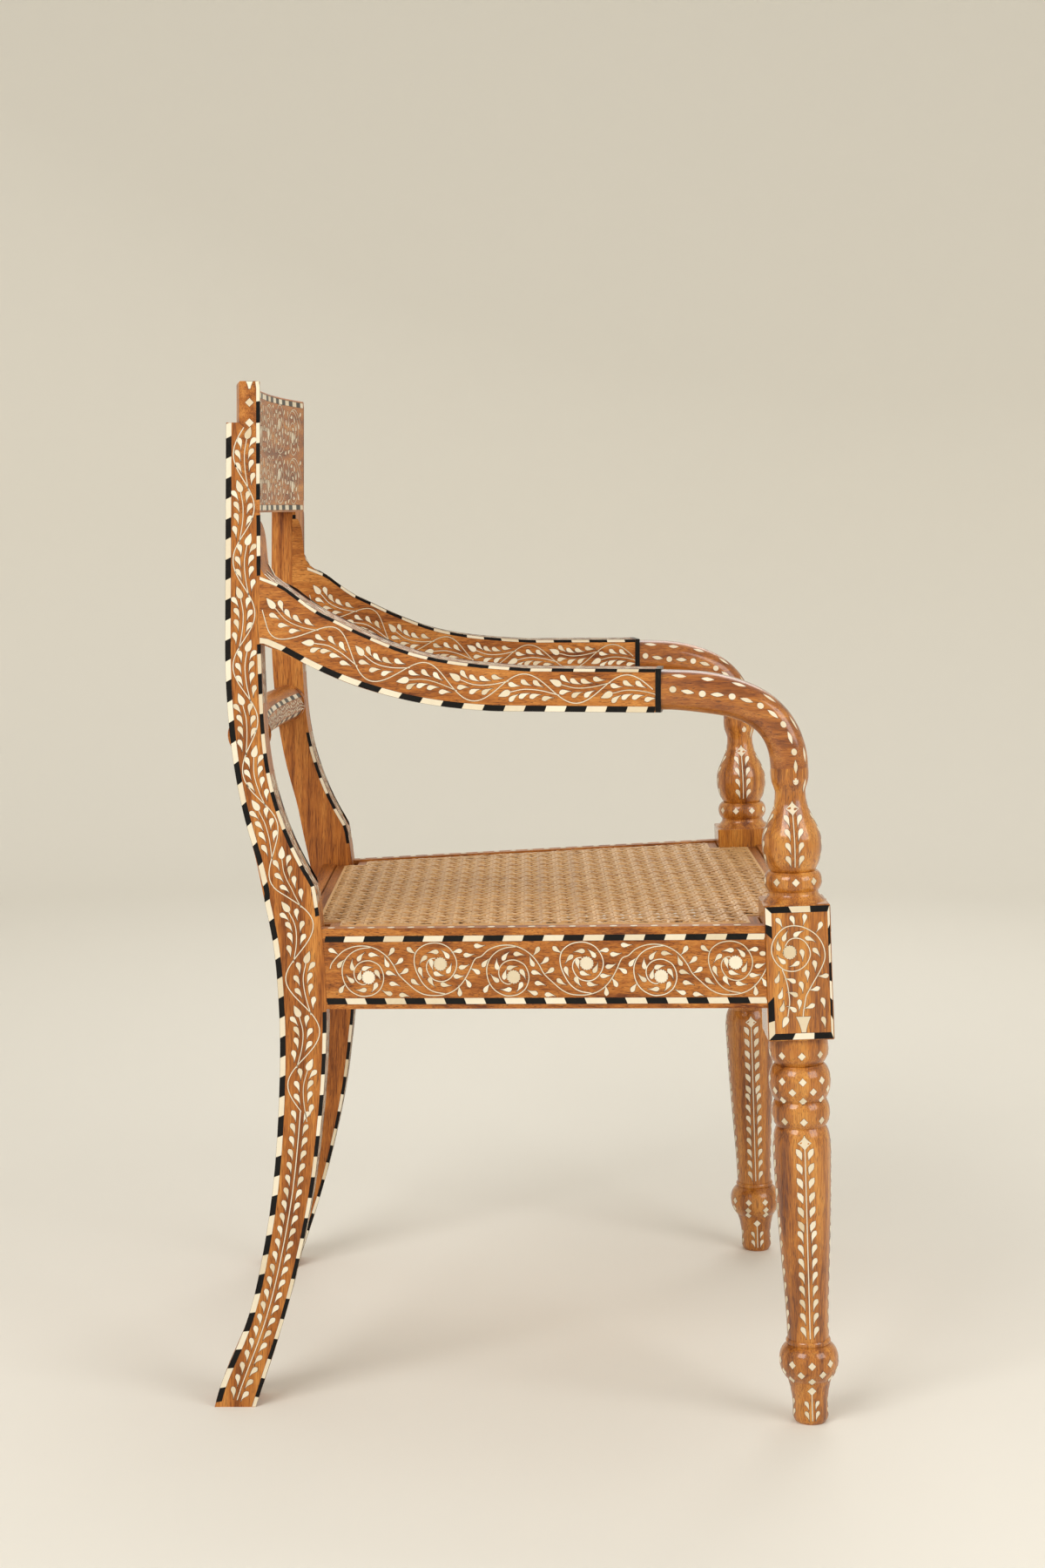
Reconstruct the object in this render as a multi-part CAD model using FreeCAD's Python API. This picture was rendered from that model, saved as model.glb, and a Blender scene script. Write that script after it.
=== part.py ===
import FreeCAD, Part
import math
import os

Vector = FreeCAD.Vector

# Frame of the drawing: the sitter's left is +X, forward is -Y, up is +Z, millimetres.
# Forward distances start at the floor point of the front legs' axes.
# Seat rails, front posts and seat lie square to each other and lean back together.

# Whole chair
FRONT_WIDTH = 580.0
REAR_WIDTH = 458.0
LEG_TO_POST = 445.9
SEAT_HEIGHT = 437.0
SEAT_TILT_DEGREES = 1.91

# Joinery
JOINT_GAP = 0.15
OVERRUN = 6.0
TENON_THICKNESS = 10.0
TENON_LENGTH = 20.0
TENON_SHOULDER = 13.0
REAR_TENON_LENGTH = 13.0

# Rear posts, sawn from a plank: the side view is a table of shares
POST_THICKNESS = 38.0
POST_WIDTH = 42.6
POST_RAKE = 60.3
POST_TWIST = 5.7

# Each row: share of the height, share of the rake, share of the width
POST_LOWER_SHARES = (
    (0.000, 1.000, 0.847),
    (0.024, 0.889, 0.870),
    (0.065, 0.663, 0.785),
    (0.107, 0.473, 0.748),
    (0.149, 0.332, 0.775),
    (0.189, 0.221, 0.808),
    (0.231, 0.131, 0.845),
    (0.271, 0.073, 0.873),
    (0.321, 0.022, 0.920),
    (0.370, 0.000, 0.953),
    (0.427, 0.018, 1.000),
    (0.483, 0.100, 1.040),
    (0.525, 0.209, 1.106),
)
POST_UPPER_SHARES = (
    (0.556, 0.380, 0.885),
    (0.592, 0.562, 0.780),
    (0.628, 0.700, 0.725),
    (0.661, 0.783, 0.714),
    (0.704, 0.845, 0.730),
    (0.767, 0.883, 0.739),
)
POST_TOP_SHARE = (1.000, 0.883, 0.700)

# Crest rail: a flat tablet let into the front of the posts, bowed backward.
# It stands a gap above the arms' tops and rises above the posts.
CREST_HEIGHT = 117.0
CREST_GAP = 7.39
CREST_RISE = 36.8
CREST_THICKNESS = 18.5
CREST_BOW = 19.0
CREST_CHAMFER = 1.0
PEG_DIAMETER = 8.0
PEG_DEPTH = 10.0
PEG_TAIL = 4.5
PEG_HEIGHT_SHARES = (0.18, 0.50)

# Round bar across the back
BAR_DIAMETER = 36.5
BAR_HEIGHT = 591.0
BAR_BOW = 12.0
BAR_SETBACK = 51.3
BAR_TENON_DIAMETER = 20.0
BAR_TENON_LENGTH = 18.0
BAR_RING_DIAMETER = 39.0
BAR_RING_WIDTH = 5.0
BAR_RING_INSET = 6.0

# Front posts, each turned in one piece: height and radius of every part, floor to top
FOOT_HEIGHT = 38.0
FOOT_RADIUS = 19.4
FOOT_SHARES = ((0, 0.66), (0.05, 0.74), (0.35, 0.78), (0.62, 0.82), (0.82, 0.89), (1, 1))
BALL_HEIGHT = 30.0
BALL_RADIUS = 25.8
BALL_SHARES = ((0, 0.76), (0.14, 0.88), (0.32, 0.97), (0.54, 1), (0.75, 0.965), (0.9, 0.87), (1, 0.74))
COLLAR_HEIGHT = 5.0
COLLAR_RADIUS = 19.6
COLLAR_SHARES = ((0, 0.955), (0.5, 1), (1, 0.935))
COLUMN_HEIGHT = 185.0
COLUMN_RADIUS = 25.3
COLUMN_SHARES = (
    (0, 0.71), (0.14, 0.737), (0.3, 0.802), (0.47, 0.875), (0.66, 0.945),
    (0.84, 0.992), (0.9, 1), (0.955, 0.965), (0.985, 0.905), (1, 0.85),
)
LOW_RING_HEIGHT = 23.0
LOW_RING_RADIUS = 25.5
LOW_RING_SHARES = ((0, 0.84), (0.2, 0.95), (0.52, 1), (0.82, 0.96), (1, 0.87))
BULB_HEIGHT = 31.0
BULB_RADIUS = 27.0
BULB_SHARES = ((0, 0.82), (0.2, 0.94), (0.55, 1), (0.85, 0.93), (1, 0.8))
TOP_RING_HEIGHT = 25.0
TOP_RING_RADIUS = 26.0
TOP_RING_SHARES = ((0, 0.8), (0.06, 0.84), (0.25, 0.955), (0.5, 1), (1, 0.96))
BLOCK_HEIGHT = 117.0
BLOCK_SIDE = 57.0
BLOCK_CHAMFER = 0.8
COVE_HEIGHT = 9.0
COVE_RADIUS = 27.6
COVE_SHARES = ((0, 1), (0.3, 0.9), (0.65, 0.8), (1, 0.79))
BASE_RING_HEIGHT = 17.0
BASE_RING_RADIUS = 25.2
BASE_RING_SHARES = ((0, 0.86), (0.2, 0.96), (0.5, 1), (0.8, 0.96), (1, 0.84))
VASE_HEIGHT = 67.0
VASE_RADIUS = 25.9
VASE_SHARES = ((0, 0.75), (0.13, 0.91), (0.35, 1), (0.5, 0.95), (0.66, 0.77), (0.81, 0.605), (1, 0.518))
NECK_HEIGHT = 23.0
NECK_RADIUS = 16.5
NECK_SHARES = ((0, 0.813), (0.2, 0.84), (0.42, 0.95), (0.6, 1), (1, 1))
POST_PIN_DIAMETER = 14.0
POST_PIN_LENGTH = 22.0

# Arms: level in front, sweeping up to the posts behind, sawn from a plank
ARM_THICKNESS = 38.0
ARM_TOP = 655.3
ARM_DEPTH = 37.6
ARM_TOP_RISE = 98.7
ARM_UNDER_RISE = 58.1
ARM_LENGTH = 351.5

# Each row: share of the length from the post, share of the rise
ARM_TOP_SHARES = (
    (-0.017, 1.300), (0.000, 1.000), (0.013, 0.833), (0.049, 0.732), (0.090, 0.631), (0.136, 0.524),
    (0.181, 0.443), (0.228, 0.358), (0.275, 0.281), (0.372, 0.149), (0.473, 0.068),
    (0.570, 0.027), (0.680, 0.000),
)
ARM_UNDER_SHARES = (
    (0.000, 1.000), (0.105, 0.733), (0.196, 0.480), (0.294, 0.277), (0.395, 0.131),
    (0.491, 0.047), (0.600, 0.000),
)
ARM_TENON_LENGTH = 18.0
ARM_TENON_HEIGHT = 34.0
ARM_TENON_RISE = 28.0
BAND_LENGTH = 4.8
BAND_PROUD = 0.5

# Knuckle between arm and front post
KNUCKLE_WIDTH = 38.0
KNUCKLE_DEPTH = 35.0
KNUCKLE_ROUND = 14.0
KNUCKLE_FLAT = 1.0

# Each row: share of the reach, share of the drop, degrees turned, share of the
# depth and of the width
KNUCKLE_SHARES = (
    (0.000, 0.000, 0.0, 1.00, 1.00),
    (0.200, 0.010, 3.0, 1.00, 1.00),
    (0.460, 0.062, 15.0, 1.00, 0.99),
    (0.660, 0.160, 37.0, 0.98, 0.96),
    (0.840, 0.350, 58.0, 0.96, 0.92),
    (0.955, 0.630, 77.0, 0.94, 0.88),
)
DOWEL_DIAMETER = 10.0
DOWEL_REACH = 26.0

# Seat rails
RAIL_HEIGHT = 71.0
RAIL_THICKNESS = 25.0
FRONT_RAIL_INSET = 4.0
REAR_RAIL_INSET = 10.0
RAIL_LAND = 13.0

# Loose seat: a framed cane panel dropped into the rails
SEAT_GAP = 1.0
SEAT_FRAME_THICKNESS = 18.0
FRONT_MEMBER_WIDTH = 75.0
REAR_MEMBER_WIDTH = 58.0
SIDE_MEMBER_WIDTH = 45.0
SEAT_TENON_LENGTH = 14.0
SEAT_TENON_THICKNESS = 6.0
SEAT_TENON_WIDTH = 24.0
GROOVE_INSET = 9.0
GROOVE_WIDTH = 4.0
GROOVE_DEPTH = 6.0
CANE_THICKNESS = 1.6
CANE_TUCK = 5.0
CANE_DROP = 2.0
CANE_OPENINGS_ACROSS = 12
CANE_OPENINGS_DEEP = 10
CANE_RIB_WIDTH = 12.0
SPLINE_PROUD = 1.2

# Corner blocks and screws under the seat
CORNER_REACH = 45.0
CORNER_HEIGHT = 40.0
SCREW_DIAMETER = 4.5
SCREW_HEAD_DIAMETER = 9.0
SCREW_HEAD_HEIGHT = 4.0
SCREW_TIP_HEIGHT = 4.0
SCREW_SLOT_WIDTH = 1.2
SCREW_SLOT_DEPTH = 1.5
CORNER_SCREW_LENGTH = 36.0
CORNER_SCREW_DROP = 20.0
SEAT_SCREW_LENGTH = 50.0
SEAT_SCREW_INSET = 10.0
SEAT_SCREW_SETBACK = 17.5

# Worked-out places
LEG_X = FRONT_WIDTH / 2 - BLOCK_SIDE / 2
POST_X = REAR_WIDTH / 2 - POST_THICKNESS / 2
TILT = math.radians(SEAT_TILT_DEGREES)
RAIL_BOTTOM = SEAT_HEIGHT - RAIL_HEIGHT
SEAT_FRAME_TOP = SEAT_HEIGHT - CANE_DROP
SEAT_FRAME_BOTTOM = SEAT_FRAME_TOP - SEAT_FRAME_THICKNESS
CORNER_BOTTOM = SEAT_FRAME_BOTTOM - CORNER_HEIGHT
BLOCK_BOTTOM = (
    FOOT_HEIGHT + BALL_HEIGHT + COLLAR_HEIGHT + COLUMN_HEIGHT
    + LOW_RING_HEIGHT + BULB_HEIGHT + TOP_RING_HEIGHT
)
BLOCK_TOP = BLOCK_BOTTOM + BLOCK_HEIGHT
POST_JOINT = BLOCK_TOP + COVE_HEIGHT + BASE_RING_HEIGHT + VASE_HEIGHT + NECK_HEIGHT
CREST_BOTTOM = ARM_TOP + ARM_TOP_RISE * ARM_TOP_SHARES[0][1] + CREST_GAP
CHAIR_HEIGHT = CREST_BOTTOM + CREST_HEIGHT
POST_HEIGHT = CHAIR_HEIGHT - CREST_RISE
BLOCK_REAR = -BLOCK_SIDE / 2
FRONT_RAIL_FACE = BLOCK_SIDE / 2 - FRONT_RAIL_INSET
POST_FACE = (
    (POST_WIDTH / 2 - LEG_TO_POST) * math.cos(TILT)
    + (SEAT_HEIGHT - RAIL_HEIGHT / 2) * math.sin(TILT)
)
REAR_RAIL_FACE = POST_FACE - REAR_RAIL_INSET
RAIL_SLOPE = (FRONT_WIDTH - REAR_WIDTH) / 2 / (BLOCK_REAR - POST_FACE)


def point(x, forward, up):
    """A place given by its distance to the left, forward and up."""
    return Vector(x, -forward, up)


def mirrored(shape):
    """The same piece on the sitter's other side."""
    return shape.mirror(point(0, 0, 0), Vector(1, 0, 0))


def tilted(shape):
    """A shape of the square seat frame, leaned back about the legs' floor points."""
    leaned = shape.copy()
    leaned.rotate(point(0, 0, 0), Vector(1, 0, 0), -SEAT_TILT_DEGREES)
    return leaned


def box(x_range, forward_range, up_range):
    """A block between two places along each of the three directions."""
    corner = point(x_range[0], forward_range[1], up_range[0])
    width = x_range[1] - x_range[0]
    depth = forward_range[1] - forward_range[0]
    return Part.makeBox(width, depth, up_range[1] - up_range[0], corner)


def plan_prism(plan, bottom, top):
    """A prism over a plan outline given as (x, forward) places."""
    corners = [point(x, forward, bottom) for x, forward in plan]
    face = Part.Face(Part.makePolygon(corners + corners[:1]))
    return face.extrude(Vector(0, 0, top - bottom))


def spline(points, start=None, end=None):
    """A smooth edge through the points, with its end directions where they are given."""
    curve = Part.BSplineCurve()
    if start and end:
        curve.interpolate(Points=points, InitialTangent=start, FinalTangent=end)
    else:
        curve.interpolate(Points=points)
    return curve.toShape()


def line(start, end):
    """A straight edge."""
    return Part.LineSegment(start, end).toShape()


def solid_of(shape):
    """The single solid that a boolean operation leaves."""
    return shape.removeSplitter().Solids[0]


def post_edge(row, side):
    """Forward place and height of the post's edge, side 1 in front and -1 behind."""
    centre = -LEG_TO_POST - POST_RAKE * row[1]
    return centre + side * POST_WIDTH * row[2] / 2, POST_HEIGHT * row[0]


def post_outline(x):
    """The side view of a rear post, as one closed wire at the given x."""
    rows = POST_LOWER_SHARES + POST_UPPER_SHARES
    back = [point(x, *post_edge(row, -1)) for row in rows]
    front_low = [point(x, *post_edge(row, 1)) for row in POST_LOWER_SHARES]
    front_high = [point(x, *post_edge(row, 1)) for row in POST_LOWER_SHARES[-1:] + POST_UPPER_SHARES]
    top_back = point(x, *post_edge(POST_TOP_SHARE, -1))
    top_front = point(x, *post_edge(POST_TOP_SHARE, 1))
    edges = [
        spline(back),
        line(back[-1], top_back),
        line(top_back, top_front),
        line(top_front, front_high[-1]),
        spline(front_high),
        spline(front_low),
        line(front_low[0], back[0]),
    ]
    return Part.Wire(Part.sortEdges(edges)[0])


def twist_section(up, twist):
    """The plan of what the post's front loses at a height, as a closed wire."""
    straight, top = POST_UPPER_SHARES[-1], POST_TOP_SHARE
    share = (up / POST_HEIGHT - straight[0]) / (top[0] - straight[0])
    front = post_edge(straight, 1)[0] * (1 - share) + post_edge(top, 1)[0] * share
    inner, outer = POST_X - POST_THICKNESS / 2, POST_X + POST_THICKNESS / 2
    plan = (
        (outer, front), (outer, front + OVERRUN), (inner - OVERRUN, front + OVERRUN),
        (inner - OVERRUN, front - twist * (1 + OVERRUN / POST_THICKNESS)),
    )
    corners = [point(x, forward, up) for x, forward in plan]
    return Part.makePolygon(corners + corners[:1])


def post_blank():
    """A rear post before its joints are cut; above the arm its front turns inward with the crest."""
    face = Part.Face(post_outline(POST_X - POST_THICKNESS / 2))
    plank = face.extrude(Vector(POST_THICKNESS, 0, 0))
    low, high = POST_HEIGHT * POST_UPPER_SHARES[-1][0], ARM_TOP + ARM_TOP_RISE
    turned = Part.makeLoft([twist_section(low, 0), twist_section(high, POST_TWIST)], True, True)
    upper = Part.makeLoft([twist_section(up, POST_TWIST) for up in (high, POST_HEIGHT + OVERRUN)], True, True)
    return solid_of(plank.cut([turned, upper]))


def crest_front():
    """Forward place of the crest's front face at its two ends."""
    return post_edge(POST_TOP_SHARE, 1)[0]


def bowed_region(front, depth, bow, half_width):
    """A plan region between two equal arcs, bowed backward, as a face at height zero."""
    def arc(forward):
        ends = point(-half_width, forward, 0), point(half_width, forward, 0)
        return Part.Arc(ends[0], point(0, forward - bow, 0), ends[1]).toShape()

    near, far = arc(front), arc(front - depth)
    sides = [
        line(point(side * half_width, front, 0), point(side * half_width, front - depth, 0))
        for side in (-1, 1)
    ]
    return Part.Face(Part.Wire(Part.sortEdges([near, far] + sides)[0]))


def crest_rail():
    """The bowed tablet across the top of the back, with its peg holes."""
    face = bowed_region(crest_front(), CREST_THICKNESS, CREST_BOW, REAR_WIDTH / 2)
    face.translate(Vector(0, 0, CREST_BOTTOM))
    tablet = face.extrude(Vector(0, 0, CREST_HEIGHT))
    top_edges = [
        edge for edge in tablet.Edges
        if edge.BoundBox.ZMin > CREST_BOTTOM + CREST_HEIGHT / 2 and edge.Length > REAR_WIDTH
    ]
    tablet = tablet.makeChamfer(CREST_CHAMFER, top_edges)
    return solid_of(tablet.cut(crest_pegs(JOINT_GAP)))


def crest_housing():
    """The room that the tablet takes out of the posts."""
    depth = CREST_THICKNESS + POST_WIDTH
    face = bowed_region(crest_front() + POST_WIDTH, depth, CREST_BOW, REAR_WIDTH / 2)
    face.translate(Vector(0, 0, CREST_BOTTOM))
    return face.extrude(Vector(0, 0, CREST_HEIGHT + OVERRUN))


def crest_pegs(gap=0.0):
    """Four wooden pegs that pin the tablet to the posts."""
    bow_radius = ((REAR_WIDTH / 2) ** 2 + CREST_BOW ** 2) / (2 * CREST_BOW)
    bow_here = math.sqrt(bow_radius ** 2 - POST_X ** 2) - math.sqrt(bow_radius ** 2 - (REAR_WIDTH / 2) ** 2)
    seam = crest_front() - CREST_THICKNESS - bow_here
    length = PEG_DEPTH + PEG_TAIL + 2 * gap
    pegs = []
    for side in (-1, 1):
        for share in PEG_HEIGHT_SHARES:
            place = point(side * POST_X, seam + PEG_DEPTH + gap, CREST_BOTTOM + CREST_HEIGHT * share)
            pegs.append(Part.makeCylinder(PEG_DIAMETER / 2 + gap, length, place, Vector(0, 1, 0)))
    return Part.makeCompound(pegs)


def bar_arc_solid(diameter, inset, span):
    """A length of the bowed bar, from an inset off the post's face and a span long."""
    half = REAR_WIDTH / 2 - POST_THICKNESS
    radius = (half ** 2 + BAR_BOW ** 2) / (2 * BAR_BOW)
    centre_forward = -LEG_TO_POST - BAR_SETBACK + math.sqrt(radius ** 2 - half ** 2)
    centre = point(0, centre_forward, BAR_HEIGHT)
    start = math.asin((half - inset) / radius)
    sweep = span / radius
    direction = Vector(math.sin(start), math.cos(start), 0)
    ring = Part.Circle(centre + direction * radius, Vector(math.cos(start), -math.sin(start), 0), diameter / 2)
    face = Part.Face(Part.Wire(ring.toShape()))
    return face.revolve(centre, Vector(0, 0, 1), math.degrees(sweep))


def bar_tenons(gap=0.0):
    """The round tenons at both ends of the bar."""
    half = REAR_WIDTH / 2 - POST_THICKNESS
    length = BAR_TENON_LENGTH + OVERRUN + gap
    start = point(half - OVERRUN, -LEG_TO_POST - BAR_SETBACK, BAR_HEIGHT)
    tenon = Part.makeCylinder(BAR_TENON_DIAMETER / 2 + gap, length, start, Vector(1, 0, 0))
    return tenon, mirrored(tenon)


def back_bar(posts):
    """The round bar between the posts, with a ring near each end."""
    half = REAR_WIDTH / 2 - POST_THICKNESS
    bar = bar_arc_solid(BAR_DIAMETER, -OVERRUN, 2 * (half + OVERRUN))
    ring = bar_arc_solid(BAR_RING_DIAMETER, BAR_RING_INSET, BAR_RING_WIDTH)
    bar = bar.fuse([ring, mirrored(ring)]).cut(Part.makeCompound(posts))
    inner = box((-half, half), (-2 * LEG_TO_POST, 0), (0, CHAIR_HEIGHT))
    bar = bar.common(inner)
    return solid_of(bar.fuse(list(bar_tenons())))


def turned_sections():
    """Every turned part as (height, radius, shares), from the floor up; the block is a gap."""
    return (
        (FOOT_HEIGHT, FOOT_RADIUS, FOOT_SHARES),
        (BALL_HEIGHT, BALL_RADIUS, BALL_SHARES),
        (COLLAR_HEIGHT, COLLAR_RADIUS, COLLAR_SHARES),
        (COLUMN_HEIGHT, COLUMN_RADIUS, COLUMN_SHARES),
        (LOW_RING_HEIGHT, LOW_RING_RADIUS, LOW_RING_SHARES),
        (BULB_HEIGHT, BULB_RADIUS, BULB_SHARES),
        (TOP_RING_HEIGHT, TOP_RING_RADIUS, TOP_RING_SHARES),
        (BLOCK_HEIGHT, BLOCK_SIDE / 2, ((0, 1), (1, 1))),
        (COVE_HEIGHT, COVE_RADIUS, COVE_SHARES),
        (BASE_RING_HEIGHT, BASE_RING_RADIUS, BASE_RING_SHARES),
        (VASE_HEIGHT, VASE_RADIUS, VASE_SHARES),
        (NECK_HEIGHT, NECK_RADIUS, NECK_SHARES),
    )


def turned_blank():
    """The turned form of a front post, about its own axis at x zero."""
    foot_radius = FOOT_RADIUS * FOOT_SHARES[0][1]
    under_floor = -foot_radius * math.tan(TILT) - JOINT_GAP
    edges = [line(point(0, 0, under_floor), point(foot_radius, 0, under_floor))]
    last = point(foot_radius, 0, under_floor)
    bottom = 0.0
    for height, radius, shares in turned_sections():
        points = [point(radius * wide, 0, bottom + height * up) for up, wide in shares]
        if points[0].distanceToPoint(last) > JOINT_GAP:
            edges.append(line(last, points[0]))
        else:
            points[0] = last
        edges.append(spline(points) if len(points) > 2 else line(*points))
        last = points[-1]
        bottom += height
    edges.append(line(last, point(0, 0, bottom)))
    edges.append(line(point(0, 0, bottom), point(0, 0, under_floor)))
    face = Part.Face(Part.Wire(edges))
    return face.revolve(point(0, 0, 0), Vector(0, 0, 1), 360)


def post_pin(gap=0.0):
    """The pin on top of a front post, upright at x zero."""
    start = point(0, 0, POST_JOINT - OVERRUN)
    return Part.makeCylinder(POST_PIN_DIAMETER / 2 + gap, POST_PIN_LENGTH + OVERRUN + gap, start)


def front_post():
    """A front post: turned foot, rings, vase and neck round a square block."""
    half = BLOCK_SIDE / 2
    block = box((-half, half), (-half, half), (BLOCK_BOTTOM, BLOCK_TOP))
    block = block.makeChamfer(BLOCK_CHAMFER, block.Edges)
    post = turned_blank().fuse([block, post_pin()])
    post.translate(Vector(LEG_X, 0, 0))
    post = post.cut([side_tenon_front(JOINT_GAP), front_tenon(JOINT_GAP), corner_screw(True, JOINT_GAP)])
    floor = box((0, FRONT_WIDTH), (-LEG_TO_POST, LEG_TO_POST), (-LEG_TO_POST, 0))
    return solid_of(tilted(post).cut(floor))


def outer_x(forward):
    """Where the side rail's outer face stands at a forward place."""
    return FRONT_WIDTH / 2 + (forward - BLOCK_REAR) * RAIL_SLOPE


def side_strip(inset, width, start, end):
    """A plan strip along the side rail, an inset in from its outer face."""
    slant = math.hypot(1, RAIL_SLOPE)
    near, far = inset * slant, (inset + width) * slant
    return (
        (outer_x(start) - near, start), (outer_x(end) - near, end),
        (outer_x(end) - far, end), (outer_x(start) - far, start),
    )


def tenon_strip(start, end, gap):
    """A tenon of the side rail between two forward places, grown all round by the gap."""
    inset = (RAIL_THICKNESS - TENON_THICKNESS) / 2 - gap
    plan = side_strip(inset, TENON_THICKNESS + 2 * gap, start, end)
    return plan_prism(plan, RAIL_BOTTOM + TENON_SHOULDER - gap, SEAT_FRAME_BOTTOM + gap)


def side_tenon_front(gap=0.0):
    """The side rail's tenon in the block."""
    return tenon_strip(BLOCK_REAR - OVERRUN, BLOCK_REAR + TENON_LENGTH + gap, gap)


def side_tenon_rear(gap=0.0):
    """The side rail's tenon in the rear post."""
    return tenon_strip(POST_FACE - TENON_LENGTH - gap, POST_FACE + OVERRUN, gap)


def cross_tenon(end_x, length, face, gap):
    """A tenon on the left end of a cross rail whose front face is given."""
    middle = face - RAIL_THICKNESS / 2
    half = TENON_THICKNESS / 2 + gap
    heights = (RAIL_BOTTOM + TENON_SHOULDER - gap, SEAT_FRAME_BOTTOM + gap)
    return box((end_x - OVERRUN, end_x + length + gap), (middle - half, middle + half), heights)


def front_tenon(gap=0.0):
    """The front rail's tenon in the left block."""
    return cross_tenon(FRONT_WIDTH / 2 - BLOCK_SIDE, TENON_LENGTH, FRONT_RAIL_FACE, gap)


def rear_tenon(gap=0.0):
    """The rear rail's tenon in the left post."""
    return cross_tenon(POST_X - POST_THICKNESS / 2, REAR_TENON_LENGTH, REAR_RAIL_FACE, gap)


def side_rail(post):
    """The left seat rail, rebated for the seat and tenoned at both ends."""
    body_end = POST_FACE - TENON_LENGTH / 2
    body = plan_prism(side_strip(0, RAIL_THICKNESS, body_end, BLOCK_REAR), RAIL_BOTTOM, SEAT_HEIGHT)
    rebate_plan = side_strip(RAIL_LAND, RAIL_THICKNESS, body_end - OVERRUN, BLOCK_REAR + OVERRUN)
    body = body.cut(plan_prism(rebate_plan, SEAT_FRAME_BOTTOM, SEAT_HEIGHT + OVERRUN))
    body = tilted(body).cut(post)
    tenons = [tilted(side_tenon_front()), tilted(side_tenon_rear())]
    screw = tilted(corner_screw(False, JOINT_GAP))
    return solid_of(body.fuse(tenons).cut(screw))


def cross_rail(half_length, front_face, rear_face, rebate, tenon):
    """A rail across the seat, rebated on one edge, with a tenon at each end."""
    body = box((-half_length, half_length), (rear_face, front_face), (RAIL_BOTTOM, SEAT_HEIGHT))
    cut = box((-half_length, half_length), rebate, (SEAT_FRAME_BOTTOM, SEAT_HEIGHT + OVERRUN))
    return solid_of(tilted(body.cut(cut).fuse([tenon, mirrored(tenon)])))


def front_rail():
    """The rail between the blocks."""
    rear_face = FRONT_RAIL_FACE - RAIL_THICKNESS
    rebate = (rear_face - OVERRUN, FRONT_RAIL_FACE - RAIL_LAND)
    return cross_rail(FRONT_WIDTH / 2 - BLOCK_SIDE, FRONT_RAIL_FACE, rear_face, rebate, front_tenon())


def rear_rail():
    """The rail between the rear posts."""
    rear_face = REAR_RAIL_FACE - RAIL_THICKNESS
    rebate = (rear_face + RAIL_LAND, REAR_RAIL_FACE + OVERRUN)
    return cross_rail(POST_X - POST_THICKNESS / 2, REAR_RAIL_FACE, rear_face, rebate, rear_tenon())


def seat_front():
    """Forward place of the loose seat's front edge."""
    return FRONT_RAIL_FACE - RAIL_LAND - SEAT_GAP


def seat_rear():
    """Forward place of the loose seat's rear edge."""
    return REAR_RAIL_FACE - RAIL_THICKNESS + RAIL_LAND + SEAT_GAP


def seat_side(forward):
    """Where the loose seat's side edge stands at a forward place."""
    return outer_x(forward) - (RAIL_LAND + SEAT_GAP) * math.hypot(1, RAIL_SLOPE)


def seat_outline():
    """Plan of the loose seat, notched round the blocks and the rear posts."""
    block_x = FRONT_WIDTH / 2 - BLOCK_SIDE - SEAT_GAP
    block_line = BLOCK_REAR - SEAT_GAP
    post_x = POST_X - POST_THICKNESS / 2 - SEAT_GAP
    post_line = POST_FACE + SEAT_GAP
    left = [
        (block_x, seat_front()), (block_x, block_line), (seat_side(block_line), block_line),
        (seat_side(post_line), post_line), (post_x, post_line), (post_x, seat_rear()),
    ]
    right = [(-x, forward) for x, forward in reversed(left)]
    return left + right


def seat_opening():
    """Plan of the opening that the four seat members leave."""
    front = seat_front() - FRONT_MEMBER_WIDTH
    rear = seat_rear() + REAR_MEMBER_WIDTH
    left = [(seat_side(front) - SIDE_MEMBER_WIDTH, front), (seat_side(rear) - SIDE_MEMBER_WIDTH, rear)]
    return left + [(-x, forward) for x, forward in reversed(left)]


def inset_prism(inset, bottom, top):
    """A prism over the seat's plan drawn in by an inset."""
    corners = [point(x, forward, bottom) for x, forward in seat_outline()]
    wire = Part.makePolygon(corners + corners[:1])
    drawn_in = Part.Face(wire).makeOffset2D(-inset, join=2) if inset else Part.Face(wire)
    return drawn_in.extrude(Vector(0, 0, top - bottom))


def seat_tenons(gap=0.0):
    """Four stub tenons of the seat's side members, as solids square to the front."""
    front = seat_front() - FRONT_MEMBER_WIDTH
    rear = seat_rear() + REAR_MEMBER_WIDTH
    half = SEAT_TENON_WIDTH / 2 + gap
    middle_up = SEAT_FRAME_BOTTOM + SEAT_FRAME_THICKNESS / 2
    heights = (middle_up - SEAT_TENON_THICKNESS / 2 - gap, middle_up + SEAT_TENON_THICKNESS / 2 + gap)
    tenons = []
    for end, direction in ((front, 1), (rear, -1)):
        middle = seat_side(end) - SIDE_MEMBER_WIDTH / 2
        reach = sorted((end - direction * OVERRUN, end + direction * (SEAT_TENON_LENGTH + gap)))
        tenon = box((middle - half, middle + half), reach, heights)
        tenons += [tenon, mirrored(tenon)]
    return tenons


def seat_ring():
    """The whole seat frame with its opening and the groove for the cane."""
    ring = inset_prism(0, SEAT_FRAME_BOTTOM, SEAT_FRAME_TOP)
    ring = ring.cut(plan_prism(seat_opening(), SEAT_FRAME_BOTTOM - OVERRUN, SEAT_HEIGHT))
    groove = inset_prism(GROOVE_INSET, SEAT_FRAME_TOP - GROOVE_DEPTH, SEAT_HEIGHT)
    inside = inset_prism(GROOVE_INSET + GROOVE_WIDTH, SEAT_FRAME_BOTTOM, SEAT_HEIGHT + OVERRUN)
    return ring.cut(groove.cut(inside))


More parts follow.
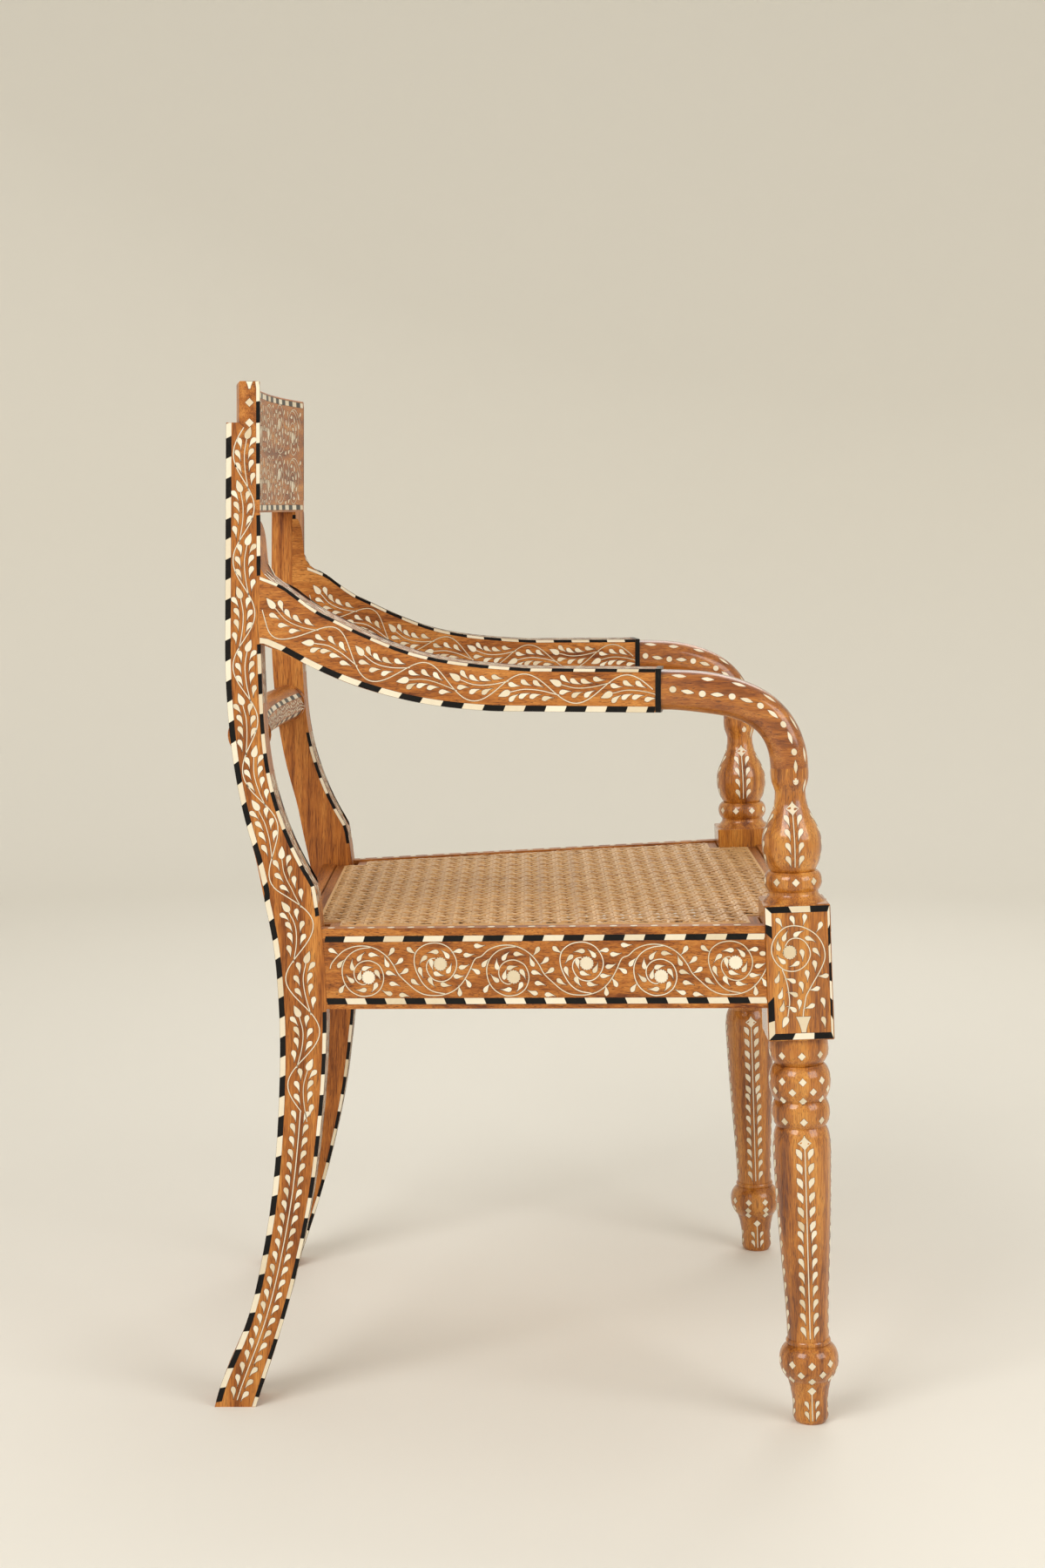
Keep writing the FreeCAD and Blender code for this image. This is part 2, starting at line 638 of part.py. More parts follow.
def seat_members():
    """Front, rear, left and right members of the seat frame."""
    front = seat_front() - FRONT_MEMBER_WIDTH
    rear = seat_rear() + REAR_MEMBER_WIDTH
    everywhere = (-FRONT_WIDTH, FRONT_WIDTH)
    heights = (RAIL_BOTTOM, CHAIR_HEIGHT)
    ring = seat_ring()
    tenons = seat_tenons()
    mortises = seat_tenons(JOINT_GAP) + [seat_screw(True, JOINT_GAP), seat_screw(False, JOINT_GAP)]
    mortises += [mirrored(mortise) for mortise in mortises[-2:]]
    pieces = {
        "seat_frame_front": ring.common(box(everywhere, (front, BLOCK_SIDE), heights)).cut(mortises),
        "seat_frame_rear": ring.common(box(everywhere, (-2 * LEG_TO_POST, rear), heights)).cut(mortises),
    }
    middle = box((0, FRONT_WIDTH), (rear, front), heights)
    left = ring.common(middle).fuse([tenons[0], tenons[2]])
    pieces["seat_frame_left"] = left
    pieces["seat_frame_right"] = mirrored(left)
    return {name: solid_of(tilted(piece)) for name, piece in pieces.items()}


def cane_openings():
    """Openings of the cane as prisms, in rows that widen with the seat toward the front."""
    rear = seat_rear() + REAR_MEMBER_WIDTH
    depth = (seat_front() - FRONT_MEMBER_WIDTH - rear) / CANE_OPENINGS_DEEP
    half_rib = CANE_RIB_WIDTH / 2
    half_count = CANE_OPENINGS_ACROSS // 2
    openings = []
    for row in range(CANE_OPENINGS_DEEP):
        near = rear + row * depth + half_rib
        far = rear + (row + 1) * depth - half_rib
        near_step, far_step = [(seat_side(place) - SIDE_MEMBER_WIDTH) / half_count for place in (near, far)]
        for column in range(-half_count, half_count):
            plan = [
                (column * near_step + half_rib, near), ((column + 1) * near_step - half_rib, near),
                ((column + 1) * far_step - half_rib, far), (column * far_step + half_rib, far),
            ]
            openings.append(plan_prism(plan, SEAT_FRAME_TOP - OVERRUN, SEAT_HEIGHT + OVERRUN))
    return openings


def cane_panel():
    """The woven cane as a thin sheet with a plain grid of openings, its edge tucked into the groove."""
    edge = GROOVE_INSET + GROOVE_WIDTH
    sheet = inset_prism(edge - CANE_THICKNESS / 2, SEAT_FRAME_TOP, SEAT_FRAME_TOP + CANE_THICKNESS)
    tuck = inset_prism(edge - CANE_THICKNESS / 2, SEAT_FRAME_TOP - CANE_TUCK, SEAT_FRAME_TOP)
    inside = inset_prism(edge, SEAT_FRAME_TOP - GROOVE_DEPTH, SEAT_FRAME_TOP)
    return solid_of(tilted(sheet.fuse(tuck.cut(inside)).cut(cane_openings())))


def cane_spline():
    """The reed pressed into the groove over the edge of the cane."""
    outer = inset_prism(GROOVE_INSET + JOINT_GAP, SEAT_FRAME_TOP - GROOVE_DEPTH, SEAT_FRAME_TOP + SPLINE_PROUD)
    hole = inset_prism(
        GROOVE_INSET + GROOVE_WIDTH - CANE_THICKNESS / 2 - JOINT_GAP,
        SEAT_FRAME_TOP - GROOVE_DEPTH - OVERRUN, SEAT_HEIGHT + OVERRUN,
    )
    return solid_of(tilted(outer.cut(hole)))


def corner_plan(front):
    """Plan of a corner block on the left, in front or behind."""
    inner_rail = RAIL_THICKNESS * math.hypot(1, RAIL_SLOPE)
    if front:
        start = (FRONT_WIDTH / 2 - BLOCK_SIDE - CORNER_REACH, FRONT_RAIL_FACE - RAIL_THICKNESS)
        end_line = BLOCK_REAR - CORNER_REACH
    else:
        start = (POST_X - POST_THICKNESS / 2 - CORNER_REACH, REAR_RAIL_FACE)
        end_line = POST_FACE + CORNER_REACH
    end = (outer_x(end_line) - inner_rail, end_line)
    return start, (outer_x(start[1]) - inner_rail, start[1]), end


def corner_block(front, post):
    """A glued block in a corner of the rails, drilled for its two screws."""
    blank = tilted(plan_prism(corner_plan(front), CORNER_BOTTOM, SEAT_FRAME_BOTTOM)).cut(post)
    screws = [tilted(corner_screw(front, JOINT_GAP)), tilted(seat_screw(front, JOINT_GAP))]
    return max(blank.cut(screws).removeSplitter().Solids, key=lambda solid: solid.Volume)


def wood_screw(length, gap):
    """A slotted countersunk screw, point up, or the hole for it where a gap is given."""
    radius = SCREW_DIAMETER / 2 + gap
    head_radius = SCREW_HEAD_DIAMETER / 2 + gap
    start = -OVERRUN if gap else 0.0
    profile = [
        point(0, 0, start), point(head_radius, 0, start), point(head_radius, 0, 0),
        point(radius, 0, SCREW_HEAD_HEIGHT), point(radius, 0, length - SCREW_TIP_HEIGHT),
        point(0, 0, length + gap), point(0, 0, start),
    ]
    corners = [place for place, previous in zip(profile, [None] + profile[:-1]) if place != previous]
    screw = Part.Face(Part.makePolygon(corners)).revolve(point(0, 0, 0), Vector(0, 0, 1), 360)
    if gap:
        return screw
    half = SCREW_SLOT_WIDTH / 2
    slot = box((-SCREW_HEAD_DIAMETER, SCREW_HEAD_DIAMETER), (-half, half), (-OVERRUN, SCREW_SLOT_DEPTH))
    return screw.cut(slot)


def corner_screw(front, gap=0.0):
    """The screw from the slanted face of a corner block into the post behind it."""
    start, _, end = corner_plan(front)
    middle = ((start[0] + end[0]) / 2, (start[1] + end[1]) / 2)
    across = (end[0] - start[0], end[1] - start[1])
    outward = Vector(abs(across[1]), across[0] * (-1 if front else 1), 0)
    screw = wood_screw(CORNER_SCREW_LENGTH, gap)
    screw.Placement = FreeCAD.Placement(
        point(middle[0], middle[1], SEAT_FRAME_BOTTOM - CORNER_SCREW_DROP),
        FreeCAD.Rotation(Vector(0, 0, 1), outward),
    )
    return screw


def seat_screw(front, gap=0.0):
    """The upright screw through a corner block into the seat frame."""
    if front:
        place = (FRONT_WIDTH / 2 - BLOCK_SIDE + SEAT_SCREW_INSET, BLOCK_REAR - SEAT_SCREW_SETBACK)
    else:
        place = (POST_X - POST_THICKNESS / 2 + SEAT_SCREW_INSET / 2, POST_FACE + SEAT_SCREW_SETBACK)
    screw = wood_screw(SEAT_SCREW_LENGTH, gap)
    screw.translate(point(place[0], place[1], CORNER_BOTTOM))
    return screw


def arm_start():
    """Plan place where the arm's middle meets the post's front edge."""
    return POST_X, post_edge(POST_UPPER_SHARES[-1], 1)[0]


def post_joint_place():
    """The middle of the joint on top of the left front post, leaned back with it."""
    return point(LEG_X, -POST_JOINT * math.sin(TILT), POST_JOINT * math.cos(TILT))


def arm_plane():
    """Unit directions along the arm and across it, level, and its run to the front post."""
    joint = post_joint_place()
    start_x, start_forward = arm_start()
    along = Vector(joint.x - start_x, joint.y + start_forward, 0)
    run = along.Length
    along.normalize()
    return along, Vector(-along.y, along.x, 0), run


def arm_place(distance, up):
    """A place on the arm's upright middle plane, by distance from the post and height."""
    along, _, _ = arm_plane()
    return point(*arm_start(), up) + along * distance


def swept_plank(edges):
    """A plank of the arm's thickness from edges on its middle plane."""
    across = arm_plane()[1]
    face = Part.Face(Part.Wire(Part.sortEdges(edges)[0]))
    face.translate(across * (-ARM_THICKNESS / 2))
    return face.extrude(across * ARM_THICKNESS)


def arm_dowel(gap=0.0):
    """The dowel through the band that holds arm and knuckle together."""
    along = arm_plane()[0]
    middle = arm_place(ARM_LENGTH + BAND_LENGTH / 2, ARM_TOP - ARM_DEPTH / 2)
    half = BAND_LENGTH / 2 + DOWEL_REACH + gap
    return Part.makeCylinder(DOWEL_DIAMETER / 2 + gap, 2 * half, middle - along * half, along)


def arm_tenon(gap=0.0):
    """The arm's tenon in the rear post."""
    along, across, _ = arm_plane()
    half = TENON_THICKNESS / 2 + gap
    low = ARM_TOP + ARM_TENON_RISE - gap
    high = low + ARM_TENON_HEIGHT + 2 * gap
    start, end = -ARM_TENON_LENGTH - gap, OVERRUN
    corners = [arm_place(start, low), arm_place(end, low), arm_place(end, high), arm_place(start, high)]
    face = Part.Face(Part.makePolygon(corners + corners[:1]))
    face.translate(across * -half)
    return face.extrude(across * (2 * half))


def arm(post):
    """The left arm, shouldered and tenoned into the post."""
    under = ARM_TOP - ARM_DEPTH
    top = [arm_place(ARM_LENGTH * share, ARM_TOP + ARM_TOP_RISE * rise) for share, rise in ARM_TOP_SHARES]
    low = [arm_place(ARM_LENGTH * share, under + ARM_UNDER_RISE * rise) for share, rise in ARM_UNDER_SHARES]
    inside_low = arm_place(-OVERRUN - POST_TWIST, under + ARM_UNDER_RISE + OVERRUN / 2)
    inside_top = arm_place(-OVERRUN - POST_TWIST, top[0].z)
    end_top = arm_place(ARM_LENGTH, ARM_TOP)
    end_low = arm_place(ARM_LENGTH, under)
    edges = [
        spline(top), line(top[-1], end_top), line(end_top, end_low), line(end_low, low[-1]), spline(low),
        line(low[0], inside_low), line(inside_low, inside_top), line(inside_top, top[0]),
    ]
    body = swept_plank(edges).cut(post)
    return solid_of(body.fuse(arm_tenon()).cut(arm_dowel(JOINT_GAP)))


def arm_band():
    """The dark plate between the arm and the knuckle, a little pointed below."""
    along, across, _ = arm_plane()
    half = ARM_THICKNESS / 2 + BAND_PROUD
    top = ARM_TOP + BAND_PROUD
    under = ARM_TOP - ARM_DEPTH
    outline = [(-half, top), (half, top), (half, under), (0, under - 2 * BAND_PROUD), (-half, under)]
    corners = [arm_place(ARM_LENGTH, up) + across * side for side, up in outline]
    plate = Part.Face(Part.makePolygon(corners + corners[:1])).extrude(along * BAND_LENGTH)
    return solid_of(plate.cut(arm_dowel(JOINT_GAP)))


def rounded_section(middle, right, up, width, depth, corner):
    """A closed rounded rectangle about a middle point, of four lines and four arcs."""
    flat_x, flat_y = width / 2 - corner, depth / 2 - corner
    edges = []
    turn = math.sqrt(0.5)
    for sx, sy, next_sx, next_sy in ((1, 1, -1, 1), (-1, 1, -1, -1), (-1, -1, 1, -1), (1, -1, 1, 1)):
        centre = middle + right * (sx * flat_x) + up * (sy * flat_y)
        side_point, top_point = centre + right * (sx * corner), centre + up * (sy * corner)
        mid_point = centre + (right * sx + up * sy) * (corner * turn)
        first, second = (side_point, top_point) if sx == sy else (top_point, side_point)
        edges.append(Part.Arc(first, mid_point, second).toShape())
        step = right * (next_sx * flat_x) + up * (next_sy * flat_y)
        next_centre = middle + step
        if sx == sy:
            next_start = next_centre + up * (next_sy * corner)
        else:
            next_start = next_centre + right * (next_sx * corner)
        edges.append(line(second, next_start))
    return Part.Wire(edges)


def knuckle():
    """The rounded elbow from the band down to the top of the front post."""
    along, across, run = arm_plane()
    start = ARM_LENGTH + BAND_LENGTH
    reach = run - start
    joint = post_joint_place()
    height = ARM_TOP - ARM_DEPTH / 2
    drop = height - joint.z
    sections = []
    for forward, down, degrees, depth_share, width_share in KNUCKLE_SHARES:
        angle = math.radians(degrees)
        up = along * math.sin(angle) + Vector(0, 0, math.cos(angle))
        middle = arm_place(start + reach * forward, height - drop * down)
        width, depth = KNUCKLE_WIDTH * width_share, KNUCKLE_DEPTH * depth_share
        sections.append(rounded_section(middle, across, up, width, depth, KNUCKLE_ROUND))
    axis = Vector(0, math.sin(TILT), math.cos(TILT))
    end_up = (along - axis * along.dot(axis)).normalize()
    end_across = axis.cross(end_up).normalize()
    round_end = NECK_RADIUS - KNUCKLE_FLAT / 2
    sections.append(rounded_section(joint, end_across, end_up, 2 * NECK_RADIUS, 2 * NECK_RADIUS, round_end))
    body = Part.makeLoft(sections, True, False)
    pin = post_pin(JOINT_GAP)
    pin.translate(Vector(LEG_X, 0, 0))
    return solid_of(body.cut([tilted(pin), arm_dowel(JOINT_GAP)]))


def rear_post(blank):
    """The left rear post with every joint cut."""
    cuts = [
        crest_housing(), crest_pegs(JOINT_GAP), bar_tenons(JOINT_GAP)[0], arm_tenon(JOINT_GAP),
        tilted(side_tenon_rear(JOINT_GAP)), tilted(rear_tenon(JOINT_GAP)),
        tilted(corner_screw(False, JOINT_GAP)),
    ]
    return solid_of(blank.cut(cuts))


def both(name, left):
    """The left piece and its mirror, under their two names."""
    return {name + "_left": left, name + "_right": mirrored(left)}


def screws(maker):
    """Four like screws, one in each corner under the seat."""
    left = [tilted(maker(True)), tilted(maker(False))]
    return Part.makeCompound(left + [mirrored(screw) for screw in left])


def chair():
    """Every piece of the chair by its name."""
    blank = post_blank()
    leg = front_post()
    pieces = {}
    pieces.update(both("rear_post", rear_post(blank)))
    pieces.update(both("front_post", leg))
    pieces.update(both("arm", arm(blank)))
    pieces.update(both("arm_band", arm_band()))
    pieces.update(both("arm_knuckle", knuckle()))
    pieces.update(both("side_rail", side_rail(blank)))
    pieces.update(both("corner_block_front", corner_block(True, leg)))
    pieces.update(both("corner_block_rear", corner_block(False, blank)))
    pieces.update(seat_members())
    pieces["crest_rail"] = crest_rail()
    pieces["crest_pegs"] = crest_pegs()
    pieces["back_bar"] = back_bar([blank, mirrored(blank)])
    pieces["front_rail"] = front_rail()
    pieces["rear_rail"] = rear_rail()
    pieces["arm_dowels"] = Part.makeCompound([arm_dowel(), mirrored(arm_dowel())])
    pieces["corner_screws"] = screws(corner_screw)
    pieces["seat_screws"] = screws(seat_screw)
    pieces["cane_panel"] = cane_panel()
    pieces["cane_spline"] = cane_spline()
    return pieces


def main():
    """Centre the chair on its own footprint and write one file for each piece."""
    pieces = chair()
    whole = Part.makeCompound(list(pieces.values())).optimalBoundingBox(False)
    shift = Vector(-whole.Center.x, -whole.Center.y, -whole.ZMin)
    os.makedirs("parts", exist_ok=True)
    for name, shape in pieces.items():
        shape.translate(shift)
        shape.exportStep("parts/" + name + ".step")
        print(name, len(shape.Solids), shape.isValid(), round(shape.Volume))
    print("box", whole)


main()
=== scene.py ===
import logging
import math
from dataclasses import dataclass
from dataclasses import replace
from enum import Enum
from functools import cache
from typing import Sequence

import bpy
import numpy as np
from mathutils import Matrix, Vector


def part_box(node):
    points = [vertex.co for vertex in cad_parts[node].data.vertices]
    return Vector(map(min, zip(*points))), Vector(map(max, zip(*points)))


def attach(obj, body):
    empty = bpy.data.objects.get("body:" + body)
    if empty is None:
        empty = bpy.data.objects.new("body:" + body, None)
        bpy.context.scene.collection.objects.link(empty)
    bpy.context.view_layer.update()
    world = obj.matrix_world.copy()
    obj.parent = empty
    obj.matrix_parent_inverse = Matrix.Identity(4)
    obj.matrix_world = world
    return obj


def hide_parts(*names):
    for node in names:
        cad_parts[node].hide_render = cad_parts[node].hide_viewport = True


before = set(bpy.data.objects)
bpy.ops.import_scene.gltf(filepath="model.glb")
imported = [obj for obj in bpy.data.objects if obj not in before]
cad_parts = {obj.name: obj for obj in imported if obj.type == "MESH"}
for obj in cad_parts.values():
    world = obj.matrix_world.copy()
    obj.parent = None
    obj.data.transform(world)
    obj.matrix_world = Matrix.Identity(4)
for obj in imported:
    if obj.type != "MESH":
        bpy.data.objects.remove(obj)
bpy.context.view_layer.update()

# Looks of a bone-inlaid teak dining armchair with a caned seat.
# Lengths are in metres; MM turns a maker's millimetres into them.
# The front of the chair faces -Y, its left and right sides are mirror images in X.
# A shape has stations, each with a left, middle and right place along and across its ground.

Array = np.ndarray
LOG = logging.getLogger("dining_armchair")
MM = 0.001
TINY = 1e-12
SIDEWAYS = 1e-16
UP = np.array([0.0, 0.0, 1.0])
FRONT = np.array([0.0, -1.0, 0.0])
OUT = np.array([-1.0, 0.0, 0.0])
COLUMNS = np.array([-1.0, 0.0, 1.0])
BLACK = (0.0, 0.0, 0.0, 1.0)
WHITE = (1.0, 1.0, 1.0, 1.0)
BACKWARD_RAYS_Y = -0.1
RAYS_AT_ONCE = 48
PER_SPAN = 4


def linear(*channels: int) -> tuple[float, ...]:
    """Turn a colour as it should look into the linear colour that a shader takes.

    Args:
        channels: Red, green and blue, each 0 to 255.

    Returns:
        Linear red, green and blue, and an alpha of 1.
    """
    share = np.array(channels) / 255
    high = ((share + 0.055) / 1.055) ** 2.4
    return (*np.where(share <= 0.04045, share / 12.92, high).tolist(), 1.0)


def mm(*rows: tuple) -> Array:
    """Turn rows of millimetres into metres."""
    return np.array(rows) * MM


def points(*places: Array | float) -> Array:
    """Spread places to one shape and join them as the last axis of one array."""
    return np.stack(np.broadcast_arrays(*places), axis=-1)


def unit(rows: Array) -> Array:
    """Return the rows scaled to a length of one."""
    return rows / np.linalg.norm(rows, axis=-1, keepdims=True)


def run_lengths(line: Array) -> Array:
    """Return the length from a line's start to each of its points."""
    return np.concatenate([[0], np.cumsum(np.linalg.norm(np.diff(line, axis=0), axis=1))])


class Value:
    """An output socket of a material; each operator adds one Math node."""

    def __init__(self, tree: "NodeTree", socket: bpy.types.NodeSocket | None) -> None:
        """Keep the tree that new nodes join and the socket they read."""
        self.tree = tree
        self.socket = socket

    def join(self, operation: str, first: "Value | float", second: "Value | float") -> "Value":
        """Return the result of one Math node on two links or numbers."""
        return self.tree.add("ShaderNodeMath", {"operation": operation}, {0: first, 1: second})

    def __add__(self, other: "Value | float") -> "Value":
        """Return self + other."""
        return self.join("ADD", self, other)

    def __sub__(self, other: "Value | float") -> "Value":
        """Return self - other."""
        return self.join("SUBTRACT", self, other)

    def __rsub__(self, other: float) -> "Value":
        """Return other - self."""
        return self.join("SUBTRACT", other, self)

    def __mul__(self, other: "Value | float") -> "Value":
        """Return self * other."""
        return self.join("MULTIPLY", self, other)

    __radd__ = __add__
    __rmul__ = __mul__


class NodeTree:
    """The nodes of one material."""

    def __init__(self, name: str) -> None:
        """Make an empty material.

        Args:
            name: The material's name.
        """
        self.material = bpy.data.materials.new(name)
        self.material.use_nodes = True
        self.tree = self.material.node_tree
        self.tree.nodes.clear()

    def add(
        self,
        kind: str,
        settings: dict | None = None,
        sockets: dict | None = None,
        output: int | str = 0,
    ) -> Value:
        """Add one node.

        Args:
            kind: The node's type.
            settings: Its settings; "stops" gives a colour ramp's places and colours.
            sockets: A number, colour or link for each input socket that is set.
            output: The output socket that is returned.

        Returns:
            The node's output, which is empty for the node that ends the tree.
        """
        node = self.tree.nodes.new(kind)
        for key, value in (settings or {}).items():
            if key == "stops":
                self._set_stops(node.color_ramp, value)
            else:
                setattr(node, key, value)
        for key, value in (sockets or {}).items():
            if isinstance(value, Value):
                self.tree.links.new(value.socket, node.inputs[key])
            else:
                node.inputs[key].default_value = value
        return Value(self, node.outputs[output] if node.outputs else None)

    @staticmethod
    def _set_stops(ramp: bpy.types.ColorRamp, stops: Sequence[tuple[float, tuple]]) -> None:
        """Give a colour ramp its stops.

        Args:
            ramp: The ramp.
            stops: A place and a colour for each stop.
        """
        while len(ramp.elements) < len(stops):
            ramp.elements.new(1.0)
        for element, (place, colour) in zip(ramp.elements, stops):
            element.position = place
            element.color = colour

    def noise(self, stretch: tuple, detail: float, twist: float) -> Value:
        """Add a cloud pattern on the piece's own coordinates.

        Args:
            stretch: Repeats per metre along X, Y and Z.
            detail: Octaves of the noise.
            twist: How far the noise pushes itself about.

        Returns:
            The pattern's value, about 0.25 to 0.75.
        """
        place = self.add("ShaderNodeTexCoord", output="Object")
        scaled = self.add("ShaderNodeMapping", {}, {"Vector": place, "Scale": stretch})
        sockets = {"Vector": scaled, "Scale": 1.0, "Detail": detail, "Distortion": twist}
        return self.add("ShaderNodeTexNoise", {}, sockets)

    def ramp(self, share: Value, stops: tuple, colours: tuple) -> Value:
        """Return the colour that a ramp with these stops and colours has at a share."""
        return self.add("ShaderNodeValToRGB", {"stops": [*zip(stops, colours)]}, {"Fac": share})

    def blend(self, share: Value, first: Value | tuple, second: Value | tuple) -> Value:
        """Return the colour that lies at a share between two colours."""
        return self.add("ShaderNodeMix", {"data_type": "RGBA"}, {0: share, 6: first, 7: second}, 2)

    def finish(self, sockets: dict, bump: Value | None = None, depth: float = 0.0) -> bpy.types.Material:
        """Close the material with one surface shader.

        Args:
            sockets: The shader's colour, roughness and other sockets.
            bump: A height pattern, where the surface has one.
            depth: How far that height stands, in metres.

        Returns:
            The finished material.
        """
        if bump is not None:
            heights = {"Height": bump, "Distance": depth, "Strength": 1.0}
            sockets = {**sockets, "Normal": self.add("ShaderNodeBump", {}, heights)}
        shader = self.add("ShaderNodeBsdfPrincipled", {}, sockets)
        self.add("ShaderNodeOutputMaterial", {}, {"Surface": shader})
        return self.material


class Grain(Enum):
    """The way the wood's fibres run: repeats per metre are divided along it."""

    ACROSS_SEAT = (0.06, 1.0, 1.0)
    FRONT_TO_BACK = (1.0, 0.06, 1.0)
    UPRIGHT = (1.0, 1.0, 0.06)


@dataclass(frozen=True)
class Wood:
    """Polished wood; repeats and details are those of its bands, its fibres and its pores."""

    name: str
    dark: tuple
    middle: tuple
    light: tuple
    pore: tuple
    repeats_per_metre: tuple = (85.0, 900.0, 1700.0)
    details: tuple = (3.0, 2.0, 1.0)
    twist: float = 0.6
    band_share: float = 0.62
    colour_stops: tuple = (0.34, 0.5, 0.66)
    pore_stops: tuple = (0.57, 0.7)
    pore_share: float = 0.75
    pore_depth: float = 0.6
    roughness: float = 0.3
    fibre_roughness: float = 0.2
    coat: float = 0.1
    coat_roughness: float = 0.25
    specular: float = 0.28
    relief: float = 0.08 * MM

    def material(self, grain: Grain) -> bpy.types.Material:
        """Build the finish for one way of the grain.

        The bands and the fibres are added by their shares and a ramp gives the colour; where the
        pores' noise is high, the colour falls toward theirs.

        Args:
            grain: The way the fibres run.

        Returns:
            The material.
        """
        tree = NodeTree(f"{self.name}_{grain.name.lower()}")
        bands, fibres, pores = (
            tree.noise(tuple(repeats * share for share in grain.value), detail, self.twist)
            for repeats, detail in zip(self.repeats_per_metre, self.details)
        )
        figure = bands * self.band_share + fibres * (1 - self.band_share)
        colour = tree.ramp(figure, self.colour_stops, (self.dark, self.middle, self.light))
        specks = tree.ramp(pores, self.pore_stops, (BLACK, WHITE))
        sockets = {
            "Base Color": tree.blend(specks * self.pore_share, colour, self.pore),
            "Roughness": fibres * self.fibre_roughness + self.roughness,
            "Specular IOR Level": self.specular,
            "Coat Weight": self.coat,
            "Coat Roughness": self.coat_roughness,
        }
        return tree.finish(sockets, fibres - specks * self.pore_depth, self.relief)


@dataclass(frozen=True)
class Inset:
    """A hard inlay or reed whose pieces differ a little by the "shade" on their corners."""

    name: str
    pale: tuple
    deep: tuple
    roughness: float
    coat: float = 0.0
    specular: float = 0.3
    cloud_share: float = 0.2
    clouds: tuple = (260.0, 260.0, 260.0)
    detail: float = 2.0
    twist: float = 0.4

    @cache
    def material(self) -> bpy.types.Material:
        """Blend the pale and the deep colour by each piece's shade and a faint cloud.

        Returns:
            The material, which is made once.
        """
        tree = NodeTree(self.name)
        shade = tree.add("ShaderNodeAttribute", {"attribute_name": "shade"}, output="Fac")
        cloud = tree.noise(self.clouds, self.detail, self.twist)
        share = shade * (1 - self.cloud_share) + cloud * self.cloud_share
        sockets = {
            "Base Color": tree.blend(share, self.pale, self.deep),
            "Roughness": self.roughness,
            "Specular IOR Level": self.specular,
            "Coat Weight": self.coat,
        }
        return tree.finish(sockets)


@dataclass(frozen=True)
class Plain:
    """One even colour, as on a screw or the studio's backdrop."""

    name: str
    colour: tuple
    roughness: float
    metallic: float = 0.0

    def material(self) -> bpy.types.Material:
        """Set the colour, roughness and metal on the shader."""
        sockets = {"Base Color": self.colour, "Roughness": self.roughness, "Metallic": self.metallic}
        return NodeTree(self.name).finish(sockets)


TEAK = Wood("teak", linear(104, 50, 16), linear(170, 100, 38), linear(206, 139, 66), linear(74, 34, 12))
TURNED_TEAK = replace(
    TEAK,
    name="turned_teak",
    middle=linear(180, 108, 32),
    light=linear(214, 148, 64),
    coat=0.85,
    coat_roughness=0.12,
)
# The knuckles' teak is darker and redder than the turned teak: partly a darker cut, partly painted shade of
# the bend's underside.
KNUCKLE_TEAK_DARK_CUT_AND_SHADE = replace(TURNED_TEAK, name="knuckle_teak_dark_cut_and_shade", middle=linear(158, 89, 27), light=linear(195, 126, 52))
FRAME_WOOD = Wood(
    "frame_wood", linear(106, 56, 22), linear(164, 100, 44), linear(194, 132, 70), linear(76, 40, 16)
)
BONE = Inset("bone", linear(243, 234, 212), linear(206, 184, 146), 0.38, coat=0.15)
HORN = Inset("horn", linear(18, 16, 15), linear(8, 7, 7), 0.32, specular=0.2)
MASTIC = Inset("mastic", linear(84, 50, 28), linear(62, 36, 20), 0.6)
CANE = Inset("cane", linear(226, 184, 128), linear(150, 100, 52), 0.42, coat=0.1, cloud_share=0.35)
STEEL = Plain("steel", linear(150, 148, 142), 0.4, metallic=1.0)


def node_triangles(name: str) -> Array:
    """Read a CAD node's triangles.

    Args:
        name: The node.

    Returns:
        Their corners, as triangles x 3 x 3.
    """
    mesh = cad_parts[name].data
    mesh.calc_loop_triangles()
    corners = np.empty(len(mesh.vertices) * 3, np.float32)
    mesh.vertices.foreach_get("co", corners)
    rows = np.empty(len(mesh.loop_triangles) * 3, np.int32)
    mesh.loop_triangles.foreach_get("vertices", rows)
    return corners.reshape(-1, 3)[rows.reshape(-1, 3)].astype(float)


def dress(names: Sequence[str], material: bpy.types.Material) -> None:
    """Give CAD nodes one material.

    Args:
        names: The nodes.
        material: The material.
    """
    for name in names:
        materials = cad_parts[name].data.materials
        materials.clear()
        materials.append(material)


def make_piece(
    name: str,
    corners: Array,
    faces: Array,
    material: bpy.types.Material,
    shades: Array | None = None,
) -> bpy.types.Object:
    """Make one mesh object at the origin.

    Args:
        name: The piece's name.
        corners: One row of X, Y and Z per corner.
        faces: One row of four corner numbers per face.
        material: Its finish.
        shades: The shade at each corner; without shades the faces are smooth.

    Returns:
        The new object.
    """
    mesh = bpy.data.meshes.new(name)
    mesh.vertices.add(len(corners))
    mesh.vertices.foreach_set("co", corners.astype(np.float32).ravel())
    mesh.loops.add(faces.size)
    mesh.loops.foreach_set("vertex_index", faces.astype(np.int32).ravel())
    mesh.polygons.add(len(faces))
    mesh.polygons.foreach_set("loop_start", np.arange(len(faces), dtype=np.int32) * faces.shape[1])
    mesh.polygons.foreach_set("use_smooth", np.full(len(faces), shades is None))
    mesh.update(calc_edges=True)
    if shades is not None:
        layer = mesh.attributes.new("shade", "FLOAT", "POINT")
        layer.data.foreach_set("value", shades.astype(np.float32))
    mesh.materials.append(material)
    piece = bpy.data.objects.new(name, mesh)
    bpy.context.scene.collection.objects.link(piece)
    return piece


class Ground:
    """Something that shapes are laid on, by lengths along it and across it."""

    def place(self, shapes: Array) -> tuple[Array, Array]:
        """Return the points and the outward normals of places along and across."""
        raise NotImplementedError


